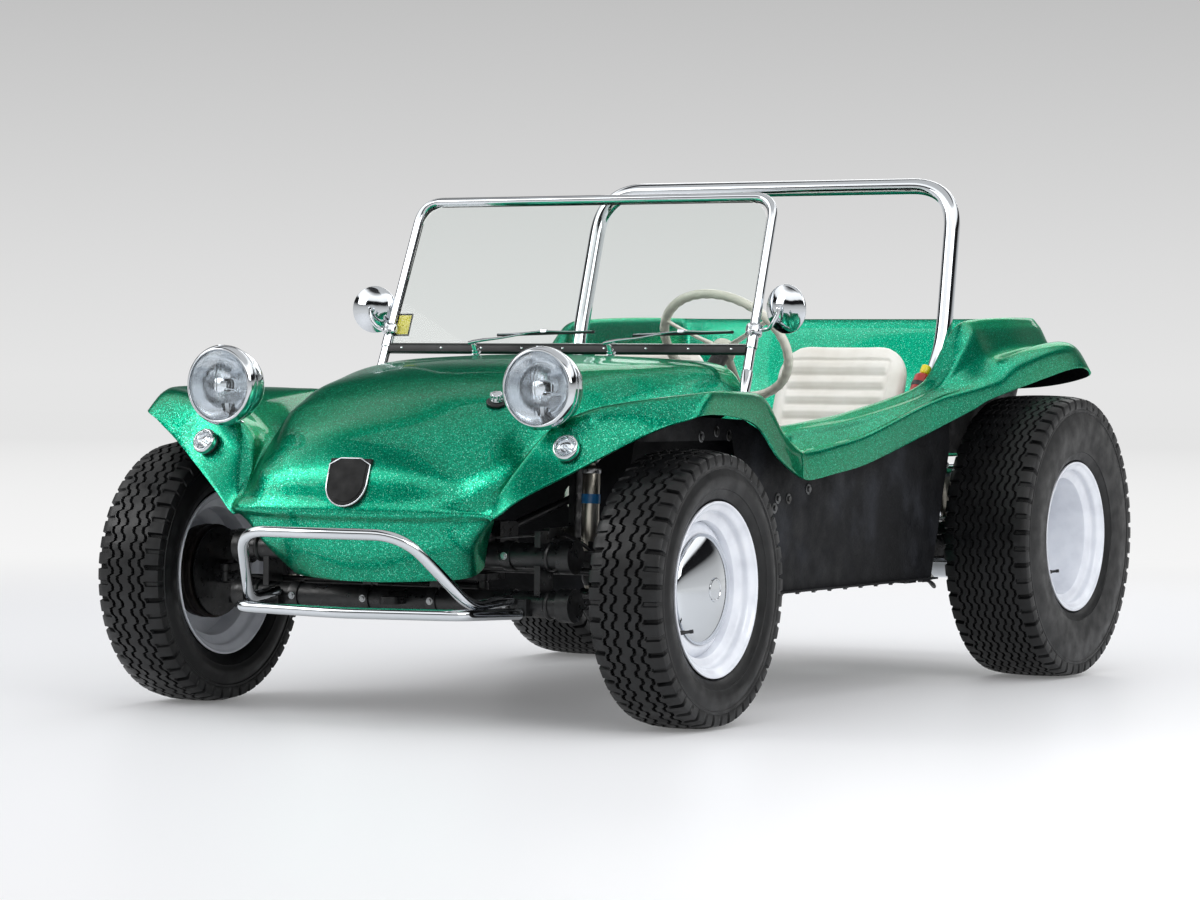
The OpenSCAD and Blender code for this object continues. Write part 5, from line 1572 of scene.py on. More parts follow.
@dataclass
class Cockpit:
    """Steering wheel, dials, levers, pedals, bottle and the fixings on the floor."""
    wheel_at: tuple[float, float, float] = (320, 900, 908)
    slope: float = 40.0
    wheel_d: float = 370.0
    dash_y: float = 588.0
    bottle_r: float = 25.0

    @property
    def column(self) -> Matrix:
        """Matrix with z along the steering column, toward the driver."""
        return shift(*front(*self.wheel_at)) @ spin(self.slope - 90, "X")

    def steering_wheel(self) -> None:
        """Thin resin rim with finger grips behind, three tapered spokes and a horn button."""
        r = self.wheel_d / 2 - 13
        turns = whole_turn(180)
        sections = []
        for a in turns:
            grip = 1 + 0.07 * math.cos(a * 36)
            b = whole_turn(20)
            fat = np.where(np.sin(b) < 0, 12.4 * grip, 12.2)
            sections.append(np.stack([(r + fat * np.cos(b)) * math.cos(a), (r + fat * np.cos(b))
                                      * math.sin(a), fat * np.sin(b) * 0.94], 1))
        wheel = Blank().grid(np.array(sections), 0, True, True, self.column)
        hub = [(0.1, -78), (11.5, -78), (11.5, -34), (32, -32), (34, -26), (33, -10), (28, -4),
               (20, -2), (0.1, -2)]
        wheel.turned(softened(hub, 1, False), 48, 0, at=self.column)
        wheel.turned(softened([(0.1, 1.5), (14, 1), (18, -1), (19, -5), (0.1, -6)], 2, False), 40,
                     1, at=self.column)
        for turn in (90, 210, 330):
            arm = self.column @ spin(turn)
            path = [(22, 0, -14), (70, 0, -13), (130, 0, -8), (r - 6, 0, -2)]
            moved = [np.array(arm @ Vector(p)) for p in catmull(path, 5)]
            wheel.tube(moved, np.interp(np.linspace(0, 1, len(moved)), [0, 0.5, 1], [15, 10.5, 12]),
                       18, 0, flat=0.42)
        wheel.piece("steering_wheel_rim", [IVORY, CHROME], Slot.BAKELITE, ["steering_wheel"],
                    "hand_wheel")

    def dials(self) -> None:
        """Three dials with bright bezels, ticks and needles, and a row of pull knobs."""
        made = Blank()
        for x in (220, 320, 420):
            at = place(front(x, self.dash_y + 0.8, 785), (0, 1, 0))
            made.ring([(36, -1), (42, -0.5), (42.5, 3), (40, 6), (36.5, 6.5), (35.5, 3)], 60, 0, at,
                      2)
            made.turned([(0.1, 1.2), (36.5, 1.2), (37, -0.8)], 60, 1, at=at)
            for tick in range(-120, 121, 20):
                spot = at @ spin(tick + 90)
                made.slab((26, -0.7, 1.2), (32, 0.7, 1.9), 0.2, 2, spot)
            needle = at @ spin(215)
            made.slab((-6, -0.9, 2.2), (27, 0.9, 3.2), 0.3, 3, needle)
            made.turned([(0.1, 4.4), (3.5, 3.8), (4, 1.2)], 20, 1, at=at)
        for x in (-300, -180, -60, 60, 140):
            at = place(front(x, self.dash_y, 740), (0, 1, 0))
            made.turned([(0.1, 22), (8, 21), (9, 17), (7, 12), (3, 10), (3, 3), (9, 2), (10, 0)],
                        24, 1, at=at)
        made.piece("dash_dials", [CHROME, DIAL_BLACK, PALE_MARK, RED_PAINT], Slot.CHROME)

    def levers(self) -> None:
        """Gear lever with boot and knob, and hand brake with grip and button."""
        high = TUNNEL_TOP
        foot, top = front(0, 930, high), front(0, 900, high + 300)
        made = Blank().tube(catmull([foot, foot + [0, -2, 90], foot + [0, -16, 200], top], 6),
                            np.interp(np.linspace(0, 1, 19), [0, 1], [7, 5.4]), 16)
        knob = [(0.1, 26), (10, 24), (19, 16), (22, 4), (19, -8), (11, -15), (6.5, -19), (0.1, -19)]
        made.turned(catmull(knob, 4), 36, 1, at=place(top + [0, 0, 5], top - foot))
        boot = [(6.5, 66), (10, 62), (9, 56), (15, 50), (13, 43), (21, 36), (19, 28), (29, 20),
                (27, 12), (40, 4), (44, 0)]
        made.turned(catmull(boot, 3), 36, 2, at=place(foot))
        brake = catmull([front(0, 1080, high + 3), front(0, 1050, high + 40),
                         front(0, 970, high + 134)], 8)
        made.tube(brake, np.interp(np.linspace(0, 1, len(brake)), [0, 0.45, 0.5, 1],
                                   [8, 8, 11, 10]), 16, 2)
        tip = brake[-1]
        made.turned([(0.1, 12), (4, 11), (5, 0), (0.1, 0)], 18, 0, at=place(tip, tip - brake[-2]))
        made.slab((-24, FRONT_Y + 1040, high), (24, FRONT_Y + 1110, high + 14), 4, 0)
        made.piece("floor_lever_set", [BLACK, DIAL_BLACK, SEAL], Slot.BLACK, ["floor_levers"])

    def pedals(self) -> None:
        """Three hanging pads on arms from the floor."""
        made = Blank()
        for x, w in ((395, 26), (325, 34), (255, 34)):
            low = front(x, 330, PAN_TOP + 8)
            made.tube(bent([low, low + [0, 18, 60], low + [0, 40, 150]], 16), 6, 14, 0)
            pad = place(low + [0, 46, 158], (0, 0.92, 0.38))
            made.slab((-w, -24, -4), (w, 24, 4), 3, 1, pad)
            for k in range(-2, 3):
                made.slab((-w + 4, k * 8 - 2, 3.5), (w - 4, k * 8 + 2, 6), 0.8, 1, pad)
        made.slab((235, FRONT_Y + 316, PAN_TOP + 0.4), (415, FRONT_Y + 344, PAN_TOP + 12), 4, 0)
        made.piece("pedal_set", [BLACK, SEAL], Slot.BLACK)

    def bottle(self) -> None:
        """Small red fire bottle with a yellow cap, strapped to the hoop."""
        a, b = rear(*HOOP_BEND), rear(*HOOP_KNEE)
        way = unit(b - a)
        out = np.cross([1, 0, 0], way)
        base = a + 60 * way + (HOOP_D / 2 + self.bottle_r + CLEAR) * unit(out)
        at = place(base, way)
        shell = [(0.1, 0), (20, 0), (24, 4), (24.8, 10), (24.8, 136), (22, 144), (14, 150),
                 (0.1, 151)]
        made = Blank().turned(softened(shell, 1, False), 40, 0, at=at)
        made.turned(softened([(0.1, 176), (11, 176), (14, 173), (14.5, 154), (12, 150), (0.1, 150)],
                             1, False), 32, 1, at=at)
        for z in (36, 108):
            made.ring([(24.9, z), (26, z + 1), (26, z + 13), (24.9, z + 14)], 40, 2, at)
        made.piece("fire_bottle_body", [RED_PAINT, YELLOW_CAP, DIAL_BLACK], Slot.RED,
                   ["fire_bottle"])

    def floor(self) -> None:
        """Ribbed rubber mats and the bolts along the tunnel."""
        mats = Blank()
        for side in (1, -1):
            low, high = (150, FRONT_Y + 640, PAN_TOP + 0.3), (520, FRONT_Y + 1000, PAN_TOP + 4)
            a, b = (side * low[0], side * high[0])
            mats.slab((min(a, b), low[1], low[2]), (max(a, b), high[1], high[2]), 1.5, 0)
            for y in np.arange(low[1] + 12, high[1] - 12, 12):
                mats.slab((min(a, b) + 12, y, high[2] - 0.5),
                          (max(a, b) - 12, y + 6, high[2] + 2.5), 1.2, 0)
        for side in (1, -1):
            for y in np.arange(FRONT_Y + 420, BEHIND_SEATS - 60, 110):
                mats.bolt(place((side * 100, y, PAN_TOP + 0.2)), 5, 1)
        mats.piece("floor_mats", [SEAL, ZINC], Slot.SEAL)

    def build(self) -> None:
        """Makes the cockpit's pieces."""
        self.steering_wheel()
        self.dials()
        self.levers()
        self.pedals()
        self.bottle()
        self.floor()


# ------------------------------------------------------------------ running gear
@dataclass
class RunningGear:
    """Shock absorbers, and the clamps, hoses and bolts on the beam, the axle and the panels."""
    shock_x: float = 424.0
    beam_y: float = -150.0
    beam_zu: float = 400.0
    beam_zl: float = 286.0
    beam_r: float = 31.0

    def strut(self, made: Blank, low: np.ndarray, high: np.ndarray, r: float, band: bool) -> None:
        """One telescopic shock absorber between its two eyes."""
        way, run = unit(high - low), float(np.linalg.norm(high - low))
        at = place(low, way)
        body = [(7, 10), (10, 12), (r - 3, run * 0.34), (r, run * 0.36), (r, run * 0.9),
                (r - 2, run * 0.92), (r - 9, run * 0.935), (9, run * 0.94), (8, run - 12)]
        made.turned(body, 40, 0, at=at)
        made.turned([(6, 8), (r - 5, run * 0.1), (r - 4, run * 0.36)], 40, 2, at=at)
        made.ring([(r, run * 0.88), (r + 1.6, run * 0.885), (r + 1.6, run * 0.915),
                   (r, run * 0.92)], 40, 1, at)
        if band:
            made.turned([(r - 1, run * 0.66), (r + 1.4, run * 0.66), (r + 1.4, run * 0.73),
                         (r - 1, run * 0.73)], 40, 3, True, at)

    def eye(self, made: Blank, at: np.ndarray, length: float, r: float) -> None:
        """A rubber-bushed eye with its through bolt, lying across the car."""
        spot = place(at, (1, 0, 0))
        made.ring([(r - 5, 0), (r, 1), (r, length - 1), (r - 5, length)], 30, 2, spot)
        made.turned([(0.1, -4), (r - 6, -3), (r - 6, length + 3), (0.1, length + 4)], 24, 1,
                    at=spot)
        made.bolt(spot @ shift(0, 0, length + 1), 7, 4)

    def shocks(self) -> None:
        """Front and rear pairs; the front ones carry a blue band."""
        x = self.shock_x
        made = Blank()
        self.strut(made, front(x, 2, 308), front(x, 15, 632), 21.5, True)
        self.eye(made, front(392.3, 15, 632), 46, 15)
        self.eye(made, front(x - 16, 2, 308), 38, 15)
        made.both().piece("front_shock_pair", [SHOCK_STEEL, ZINC, BLACK, BLUE_BAND, ZINC],
                          Slot.SHOCK, ["front_shocks"])
        x = 436
        made = Blank()
        self.strut(made, rear(x, 62, REAR_Z - 36), rear(x, -30, 585), 25, False)
        self.eye(made, rear(396.3, -30, 585), 52, 15)
        self.eye(made, rear(422, 62, REAR_Z - 36), 38, 16)
        made.both().piece("rear_shock_pair", [SHOCK_STEEL, ZINC, BLACK, BLUE_BAND, ZINC],
                          Slot.SHOCK, ["rear_shocks"])

    def beam_fittings(self) -> None:
        """Straps, spacers, nipples, brake hoses and weld rings on the twin tubes."""
        made = Blank()
        r = self.beam_r
        for z in (self.beam_zu, self.beam_zl):
            for x in (-300, -95, 95, 300):
                at = place(front(x - 13, self.beam_y, z), (1, 0, 0))
                made.ring([(r + 0.2, 0), (r + 5, 0), (r + 5, 26), (r + 0.2, 26)], 40, 0, at)
                made.bolt(place(front(x, self.beam_y - r - 4, z), (0, -1, 0)), 6, 1)
            for x in (-410, 410):
                at = place(front(x - 3, self.beam_y, z), (1, 0, 0))
                made.ring([(r, -4), (r + 5, 0), (r + 5, 6), (r, 10)], 40, 0, at)
                made.turned([(0.1, 16), (2, 15), (3.2, 11), (2.4, 8), (4, 6), (4, 0)], 14, 1,
                            at=place(front(x - math.copysign(28, x), self.beam_y, z + r),
                                     (0, 0, 1)))
        for x in (-95, 95):
            at = front(x, self.beam_y, 0)
            made.slab((x - 15, at[1] - 15, self.beam_zl + 22),
                      (x + 15, at[1] + 15, self.beam_zu - 22), 4, 0)
        for side in (1, -1):
            start, end = front(side * 372, -60, 446), front(side * 548, -8, 384)
            hose = catmull([start, start + [side * 20, -8, 6], start + [side * 80, -10, -20],
                            end + [side * -30, -16, -18], end], 7)
            made.tube(hose, 5, 12, 2)
            made.tube(hose[:4], 6.6, 6, 1)
            made.tube(hose[-4:], 6.6, 6, 1)
            pipe = [front(side * 60, -112, 420), front(side * 200, -112, 436),
                    front(side * 330, -90, 446), start]
            made.tube(catmull(pipe, 6), 2.6, 8, 1)
        made.piece("beam_fittings", [BLACK, ZINC, SEAL], Slot.BLACK)

    def panel_bolts(self) -> None:
        """Bolts along the sill flange and high on the inner wing panels."""
        made = Blank()
        out = WALL + SHELL_T + PANEL_GAP + PANEL_T
        for y in np.arange(640, 1560, 92):
            made.bolt(place(front(out + 12, y, PAN_BOTTOM), (0, 0, -1)), 6, 0)
        for y, z in ((622, 500), (640, 524), (700, 522), (812, 544), (228, 682), (308, 694),
                     (372, 684)):
            made.bolt(place(front(out, y, z), (1, 0, 0)), 8, 0)
            made.ring([(11, 0), (14, 0.4), (14, 2), (11, 2.4)], 24, 0,
                      place(front(out, y, z), (1, 0, 0)))
        made.both().piece("panel_bolts", [DULL_ZINC], Slot.BLACK)

    def axle_boots(self) -> None:
        """Pleated boots on the swing axles, drum ends and the brake pipes."""
        made = Blank()
        for side in (1, -1):
            pleats = [(36, 0)]
            for k in range(7):
                pleats += [(58 - k * 2.6, 8 + k * 15), (42 - k, 15 + k * 15)]
            made.turned(pleats + [(35, 112)], 48, 1, at=place(rear(side * 132, 0, REAR_Z),
                    (side, 0, 0)))
            for x in (140, 242):
                ring = softened([(44 - (x - 140) * 0.06, 0), (47 - (x - 140) * 0.06, 1),
                                 (47 - (x - 140) * 0.06, 7), (44 - (x - 140) * 0.06, 8)], 1)
                made.turned(ring, 40, 2, True, place(rear(side * x, 0, REAR_Z), (side, 0, 0)))
            for k in range(4):
                turn = math.radians(45 + 90 * k)
                spot = rear(side * 588, 44 * math.cos(turn), REAR_Z + 44 * math.sin(turn))
                made.bolt(place(spot, (-side, 0, 0)), 7, 2)
            pipe = catmull([rear(side * 60, -150, REAR_Z + 118), rear(side * 180, -90, REAR_Z + 60),
                            rear(side * 330, -30, REAR_Z + 42), rear(side * 560, -12, REAR_Z + 48)],
                           8)
            made.tube(pipe, 3, 8, 2)
        for k in range(8):
            turn = math.radians(45 * k)
            spot = rear(108 * math.cos(turn), 49, REAR_Z + 108 * math.sin(turn))
            made.bolt(place(spot, (0, -1, 0)), 6, 2)
        made.piece("axle_fittings", [BLACK, SEAL, ZINC], Slot.BLACK)

    def build(self) -> None:
        """Makes the gear's pieces."""
        self.shocks()
        self.beam_fittings()
        self.panel_bolts()
        self.axle_boots()


@dataclass
class Engine:
    """Air-cooled flat four: ribbed case, finned barrels, fan shroud, belt drive and exhaust."""
    front_y: float = 150.0
    crank_z: float = 402.0
    fins: int = 14

    def case(self) -> None:
        """The cast case with its ribs, sump plate, barrels, heads and rocker covers."""
        y, z, back = self.front_y, self.crank_z, REAR_Y + self.front_y
        made = Blank().slab((-108, back, z - 100), (108, back + 356, z + 108), 22, 0)
        made.slab((-80, back + 20, z - 119), (80, back + 330, z - 92), 12, 0)
        for k in range(9):
            at = back + 36 + k * 36
            made.slab((-109.5, at - 3, z - 96), (109.5, at + 3, z + 102), 2, 0)
        made.turned([(0.1, -6), (46, -6), (48, -2), (44, 1)], 40, 1,
                    at=place((0, back + 170, z - 117)))
        for k in range(6):
            turn = math.radians(60 * k)
            made.bolt(place((38 * math.cos(turn), back + 170 + 38 * math.sin(turn), z - 122),
                            (0, 0, -1)), 5, 1)
        for side in (1, -1):
            for mid in (95, 260):
                at = place(rear(side * 108, y + mid, z + 12), (side, 0, 0))
                made.turned([(52, 0), (52, 204)], 40, 2, at=at)
                for k in range(self.fins):
                    b = 8 + k * 10.5
                    edge = [(70 * math.copysign(abs(math.cos(a))**0.75, math.cos(a)),
                             62 * math.copysign(abs(math.sin(a))**0.75, math.sin(a)))
                            for a in whole_turn(40)]
                    made.drawn(edge, b, b + 2.6, 2, 0.5, at)
                for dz in (-46, -66):
                    made.tube([rear(side * 100, y + mid - 30, z + dz),
                               rear(side * 312, y + mid - 30, z + dz)], 9, 14, 1)
            low, high = sorted((side * 262, side * 314))
            made.slab((low, back + 12, z - 46), (high, back + 342, z + 70), 8, 0)
            for k in range(5):
                a, b = sorted((side * (266 + k * 9), side * (269 + k * 9)))
                made.slab((a, back + 8, z - 50), (b, back + 347, z + 74), 1, 0)
            a, b = sorted((side * 314, side * 350))
            made.slab((a, back + 24, z - 54), (b, back + 334, z + 30), 14, 1)
            clip = bent([rear(side * 330, y + 14, z - 20), rear(side * 356, y + 60, z - 12),
                         rear(side * 356, y + 300, z - 12), rear(side * 330, y + 344, z - 20)], 20)
            made.tube(clip, 2.6, 8, 1)
        made.piece("engine_case", [ALUMINIUM, ZINC, IRON], Slot.ENGINE, ["engine"])

    def shroud(self) -> None:
        """Black sheet-metal fan housing and cylinder covers, with the fan's mouth and hoses."""
        y, z, back = self.front_y, self.crank_z, REAR_Y + self.front_y
        arch = [(288, z + 76), (288, z + 118), (250, z + 176), (205, z + 230)]
        outline = two_sided(arch + arc(0, z + FAN_UP, 147, 0.35, QUARTER, 10))
        turn = shift(0, back + 230, 0) @ spin(90, "X")
        made = Blank().drawn(softened(outline, 1), 0, 110, 0, 9, turn)
        mouth = place(rear(0, y + 119, z + FAN_UP), (0, -1, 0))
        made.ring([(96, -2), (112, -2), (118, 3), (112, 8), (98, 5)], 60, 0, mouth, 2)
        made.turned([(0.1, 6), (26, 5), (30, 0), (94, -1)], 60, 1, at=mouth)
        for k in range(24):
            blade = mouth @ spin(15 * k) @ shift(0, 0, 1) @ spin(28, "X")
            made.slab((32, -1, -3), (92, 1, 5), 0.6, 1, blade)
        for side in (1, -1):
            a, b = sorted((side * 112, side * 352))
            made.slab((a, back + 6, z + 64), (b, back + 350, z + 82), 7, 0)
            lead = [rear(side * 290, y + 175, z + 84), rear(side * 250, y + 262, z + 110),
                    rear(side * 70, y + 300, z + 128), rear(side * 44, y + 330, z + 60)]
            made.tube(catmull(lead, 8), 4, 10, 2)
            hose = [rear(side * 236, y + 118, z + 150), rear(side * 240, y + 84, z + 152),
                    rear(side * 250, y + 40, z + 110), rear(side * 262, y + 26, z + 84)]
            path = catmull(hose, 8)
            made.tube(path, 21 + 1.4 * np.cos(np.arange(len(path)) * math.pi), 20, 2)
        made.piece("fan_shroud", [BLACK, ALUMINIUM, SEAL], Slot.BLACK)

    def belt_drive(self) -> None:
        """Generator on its stand, both pulleys, the belt, carburettor and air cleaner."""
        y, z, back = self.front_y, self.crank_z, REAR_Y + self.front_y
        made = Blank()
        at = place(rear(0, y + 230, z + FAN_UP), (0, 1, 0))
        body = [(40, 0), (52, 4), (53, 10), (53, 120), (50, 130), (30, 138), (12, 140), (12, 152)]
        made.turned(catmull(body, 3), 48, 1, at=at)
        for mid in (22, 104):
            made.ring([(53, mid), (55.5, mid + 1), (55.5, mid + 9), (53, mid + 10)], 48, 0, at)
        for centre, r in ((z + FAN_UP, 62.0), (z, 86.0)):
            pulley = [(0.1, 146), (16, 146), (18, 150), (r - 10, 148), (r, 146), (r - 9, 152),
                      (r - 9, 156), (r, 162), (r - 10, 160), (22, 160), (16, 164), (0.1, 165)]
            made.turned(pulley, 72, 1, at=place(rear(0, y + 218, centre), (0, 1, 0)))
            made.bolt(place(rear(0, y + 382, centre), (0, 1, 0)), 11, 2)
        lap = 0.14
        outline = arc(0, z + FAN_UP, 56, -lap, math.pi + lap, 20) + arc(0, z, 80, math.pi + lap,
                2 * math.pi - lap, 24)
        loop = [rear(x, y + 372, h) for x, h in outline]
        made.tube(loop, 5.4, 10, 3, closed=True, flat=0.9)
        made.slab((-38, back + 236, z + 100), (38, back + 344, z + 116), 5, 0)
        made.slab((-26, back + 250, z + 112), (26, back + 330, z + 164), 8, 0)
        carb = place(rear(92, y + 296, z + 100))
        throat = [(34, 0), (34, 8), (18, 12), (18, 40), (30, 46), (30, 92), (24, 98), (24, 118),
                  (20, 122)]
        made.turned(catmull(throat, 3), 36, 1, at=carb)
        made.slab((104, back + 262, z + 140), (146, back + 316, z + 186), 7, 1)
        cleaner = [(0.1, 172), (30, 171), (58, 166), (72, 158), (76, 150), (76, 126), (72, 120),
                   (22, 116)]
        made.turned(catmull(cleaner, 3), 60, 0, at=carb)
        made.turned([(0.1, 182), (5, 180), (6, 172)], 18, 2, at=carb)
        coil = place(rear(-170, y + 246, z + 172), (0, 0.2, 1))
        made.turned([(0.1, -52), (22, -50), (24, -46), (24, 42), (20, 48), (8, 52), (8, 66),
                     (0.1, 68)], 30, 0, at=coil)
        cap = place(rear(-70, y + 320, z + 106))
        made.turned([(24, 0), (26, 20), (30, 26), (30, 48), (18, 56), (0.1, 58)], 30, 4, at=cap)
        made.piece("belt_drive", [BLACK, ALUMINIUM, ZINC, SEAL, RED_PAINT], Slot.BLACK)

    def exhaust(self) -> None:
        """Cross silencer with rolled ends, header pipes and two tail pipes."""
        y = self.front_y + 440
        z = self.crank_z - 120
        made = Blank()
        can = [(0.1, 0), (30, 1), (44, 3), (49.6, 1), (50, 4), (50, 516), (49.6, 519), (44, 517),
               (30, 519), (0.1, 520)]
        made.turned(can, 60, 0, at=place(rear(-260, y, z), (1, 0, 0)))
        for x in (-130, 130):
            made.ring([(50, -9), (52.5, -8), (52.5, 8), (50, 9)], 60, 1,
                      place(rear(x, y, z), (1, 0, 0)))
        for side in (1, -1):
            path = [rear(side * 332, self.front_y + 260, self.crank_z - 50),
                    rear(side * 332, self.front_y + 270, z - 30), rear(side * 332, y, z),
                    rear(side * 258, y, z)]
            made.tube(bent(path, 32, 10), 19, 24)
            made.ring([(19, 0), (26, 0), (26, 8), (19, 8)], 30, 1,
                      place(rear(side * 332, self.front_y + 262, self.crank_z - 66)))
            tail = [rear(side * 95, y, z - 30), rear(side * 95, y + 60, z - 46),
                    rear(side * 95, y + 92, z - 46)]
            path = bent(tail, 24, 8)
            made.tube(path, 14, 22, 0, caps=False)
            made.turned([(15.5, -34), (15.5, 0), (12.5, 0), (12.5, -34)], 30, 0,
                        at=place(path[-1], (0, 1, 0)))
        made.piece("exhaust_pipes", [CHROME, ZINC], Slot.CHROME, ["exhaust"])

    def build(self) -> None:
        """Makes the engine's pieces."""
        self.case()
        self.shroud()
        self.belt_drive()
        self.exhaust()


def dress_nodes() -> None:
    """Gives each CAD node that stays on show its real finish."""
    wear = {UNDERCOAT: ["floor_pan", "side_panels", "firewall", "dashboard"],
            FLAKE: ["cargo_floor"], SEAL: ["brake_hoses"], BLACK: ["steering_column", "front_beam",
            "towing_eye", "knuckle_left", "knuckle_right", "pitman_arm", "tie_rod_left",
            "tie_rod_right", "transaxle"],}
    for finish, names in wear.items():
        for name in names:
            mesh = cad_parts[name].data
            mesh.materials.clear()
            mesh.materials.append(finish.material())
            log.info("%s: kept, in %s", name, type(finish).__name__)


# ------------------------------------------------------------------ studio
@dataclass
class Studio:
    """Pale floor, soft lamps, a grey and white surround, and the camera."""
    eye: tuple[float, float, float] = (4.997, -9.159, 0.818)
    yaw: float = 29.4
    pitch: float = 1.04
    roll: float = 0.5
    lens: float = 116.85
    fill: float = 0.94

    def camera(self) -> None:
        """A long lens at eye height, at the front left of the car."""
        yaw, pitch, roll = (math.radians(a) for a in (self.yaw, self.pitch, self.roll))
        ahead = Vector((-math.sin(yaw) * math.cos(pitch), math.cos(yaw) * math.cos(pitch),
                        -math.sin(pitch)))
        right = Vector((math.cos(yaw), math.sin(yaw), 0))
        up = right.cross(ahead)
        side = right * math.cos(roll) + up * math.sin(roll)
        top = up * math.cos(roll) - right * math.sin(roll)
        data = bpy.data.cameras.new("camera")
        data.lens, data.sensor_width, data.sensor_fit = self.lens, 36, "HORIZONTAL"
        data.clip_end = 200
        thing = linked("camera", data)
        thing.matrix_world = Matrix.Translation(self.eye) @ Matrix((side, top,
                -ahead)).transposed().to_4x4()
        bpy.context.scene.camera = thing

    def lamp(self, name: str, at: tuple, aim: tuple, size: tuple, watts: float) -> None:
        """One soft rectangular lamp."""
        data = bpy.data.lights.new(name, "AREA")
        data.shape, data.size, data.size_y, data.energy = "RECTANGLE", *size, watts
        thing = linked(name, data)
        thing.matrix_world = place(at, Vector(at) - Vector(aim))

    def sight(self, tree: bpy.types.NodeTree) -> bpy.types.NodeSocket:
        """One for rays that are seen, directly or by mirror or glass, and nought for the rest."""
        ray = add_node(tree, "ShaderNodeLightPath").outputs
        seen = ray["Is Camera Ray"]
        for kind in ("Is Glossy Ray", "Is Transmission Ray"):
            seen = add_node(tree, "ShaderNodeMath", {"operation": "MAXIMUM"},
                            {0: seen, 1: ray[kind]}).outputs[0]
        return seen

    def world(self) -> None:
        """Even light, seen as a pale backdrop ahead and as a dark room with a lit ceiling."""
        world = bpy.data.worlds.new("studio")
        world.use_nodes = True
        bpy.context.scene.world = world
        tree = world.node_tree
        tree.nodes.clear()
        way = add_node(tree, "ShaderNodeTexCoord").outputs["Generated"]
        split = add_node(tree, "ShaderNodeSeparateXYZ", {}, {0: way})
        drop = add_node(tree, "ShaderNodeValToRGB",
                        {"stops": [(0.0, "#E5E5E5"), (0.03, "#DCDCDC"), (0.096, "#C2C2C2"),
                                   (0.2, "#98989A"), (0.36, "#303032"), (1.0, "#1C1C1E")]},
                        {"Fac": split.outputs["Z"]})
        room = add_node(tree, "ShaderNodeValToRGB",
                        {"stops": [(0.0, "#A8A8A8"), (0.1, "#989898"), (0.17, "#707070"),
                                   (0.21, "#161617"), (0.38, "#0E0E0F"), (0.44, "#D8D8D8"),
                                   (0.68, "#F0F0F0"), (0.78, "#303031"), (1.0, "#101011")]},
                        {"Fac": split.outputs["Z"]})
        aim = (-math.sin(math.radians(self.yaw)), math.cos(math.radians(self.yaw)), 0)
        toward = add_node(tree, "ShaderNodeVectorMath", {"operation": "DOT_PRODUCT", 1: aim},
                          {0: way})
        share = add_node(tree, "ShaderNodeMapRange", {"From Min": 0.6, "From Max": 0.88,
                         "interpolation_type": "SMOOTHSTEP"}, {"Value": toward.outputs["Value"]})
        around = add_node(tree, "ShaderNodeMix", {"data_type": "RGBA"}, {0: share.outputs["Result"],
                          6: room.outputs["Color"], 7: drop.outputs["Color"]})
        power = add_node(tree, "ShaderNodeMapRange", {"To Min": 2.0, "To Max": 1.0},
                         {"Value": share.outputs["Result"]})
        seen = add_node(tree, "ShaderNodeBackground", {},
                        {"Color": around.outputs[2], "Strength": power.outputs["Result"]})
        even = add_node(tree, "ShaderNodeBackground",
                        {"Color": linear("#F4F6FA"), "Strength": self.fill})
        mix = add_node(tree, "ShaderNodeMixShader", {}, {0: self.sight(tree), 1: even.outputs[0],
                2: seen.outputs[0]})
        add_node(tree, "ShaderNodeOutputWorld", {}, {"Surface": mix.outputs[0]})

    def floor(self) -> None:
        """A broad pale floor that keeps the shadows and pales to white further out."""
        mesh = bpy.data.meshes.new("floor")
        mesh.from_pydata([(-60, -60, 0), (60, -60, 0), (60, 60, 0), (-60, 60, 0)], [],
                         [(0, 1, 2, 3)])
        thing = linked("floor", mesh)
        made = bpy.data.materials.new("studio_floor")
        made.use_nodes = True
        tree = made.node_tree
        shader = tree.nodes["Principled BSDF"]
        shader.inputs["Base Color"].default_value = linear("#EDEDEE")
        shader.inputs["Roughness"].default_value = 0.38
        shader.inputs["Specular IOR Level"].default_value = 0.35
        at = add_node(tree, "ShaderNodeTexCoord").outputs["Object"]
        far = add_node(tree, "ShaderNodeVectorMath", {"operation": "LENGTH"}, {0: at})
        share = add_node(tree, "ShaderNodeMapRange", {"From Min": 3.0, "From Max": 8.0,
                "To Min": 0.16, "interpolation_type": "SMOOTHSTEP"},
                         {"Value": far.outputs["Value"]})
        amount = add_node(tree, "ShaderNodeMath", {"operation": "MULTIPLY"},
                          {0: share.outputs["Result"], 1: self.sight(tree)})
        dimmer = add_node(tree, "ShaderNodeMapRange", {"From Min": 4.0, "From Max": 40.0,
                "To Min": 0.93, "To Max": 0.78}, {"Value": far.outputs["Value"]})
        glow = add_node(tree, "ShaderNodeEmission", {"Color": (1, 1, 1, 1)},
                        {"Strength": dimmer.outputs["Result"]})
        mix = add_node(tree, "ShaderNodeMixShader", {}, {0: amount.outputs[0], 1: shader.outputs[0],
                2: glow.outputs[0]})
        tree.links.new(mix.outputs[0], tree.nodes["Material Output"].inputs["Surface"])
        mesh.materials.append(made)

    def build(self) -> None:
        """Sets up the studio."""
        bpy.context.scene.view_settings.view_transform = "Standard"
        self.camera()
        self.world()
        self.floor()
        for name, at, aim, size, watts in (
                ("overhead", (0.6, -0.4, 5.6), (0, 0, 0.5), (6.0, 7.0), 95),
                ("left_front", (6.2, -3.8, 4.0), (0, 0, 0.5), (4.6, 3.6), 165),
                ("right_front", (-5.2, -4.6, 3.8), (0, -0.4, 0.5), (4.0, 3.2), 125),
                ("rear", (-1.5, 6.0, 3.4), (0, 0.5, 0.6), (4.0, 2.4), 80)):
            self.lamp(name, at, aim, size, watts)


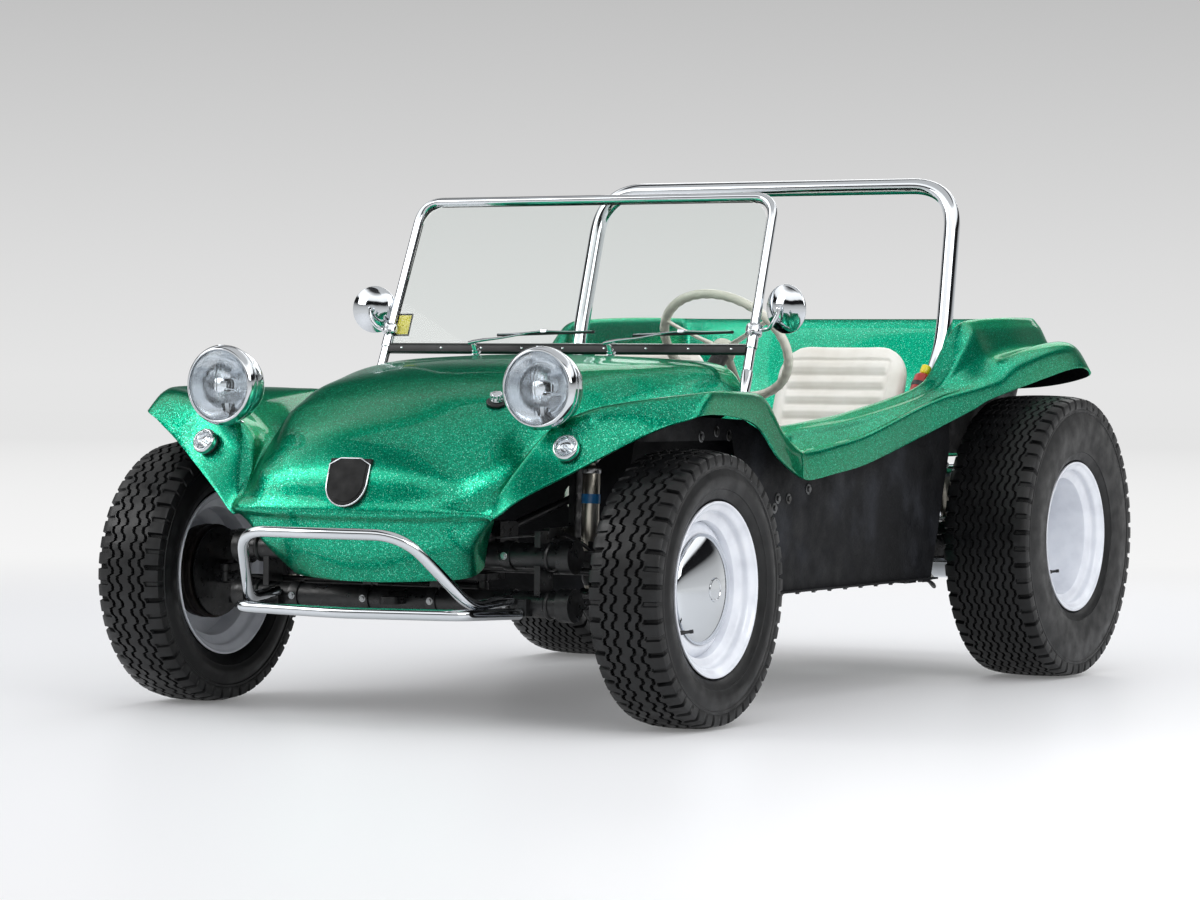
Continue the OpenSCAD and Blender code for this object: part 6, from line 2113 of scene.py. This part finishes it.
def main() -> None:
    """Builds every sub-assembly in order."""
    logging.basicConfig(level=logging.INFO, format="%(name)s: %(message)s")
    Studio().build()
    dress_nodes()
    Body().build()
    front_tyre = Tyre(655.9, 190, 158, 50, (18.0, 45.0))
    rear_tyre = Tyre(784, 252, 220, 54, (12.0, 34.0, 56.0, 79.0), groove=8.0, groove_w=6.5,
                     swing=3.8, teeth=1.5)
    for side in Side:
        Wheel("front", side, front_tyre, 158, 12, 15.05, 131, 40, 24.3,
              (FRONT_X, FRONT_Y, FRONT_Z)).build()
        Wheel("rear", side, rear_tyre, 220, -63, 19.05, 75, 34, 5.3,
              (REAR_X, REAR_Y, REAR_Z)).build()
        Seat(side).build()
    Headlamps().build()
    SmallLamps().build()
    Windscreen().build()
    BrightTubes().build()
    Cockpit().build()
    RunningGear().build()
    Engine().build()


if __name__ == "__main__":
    main()
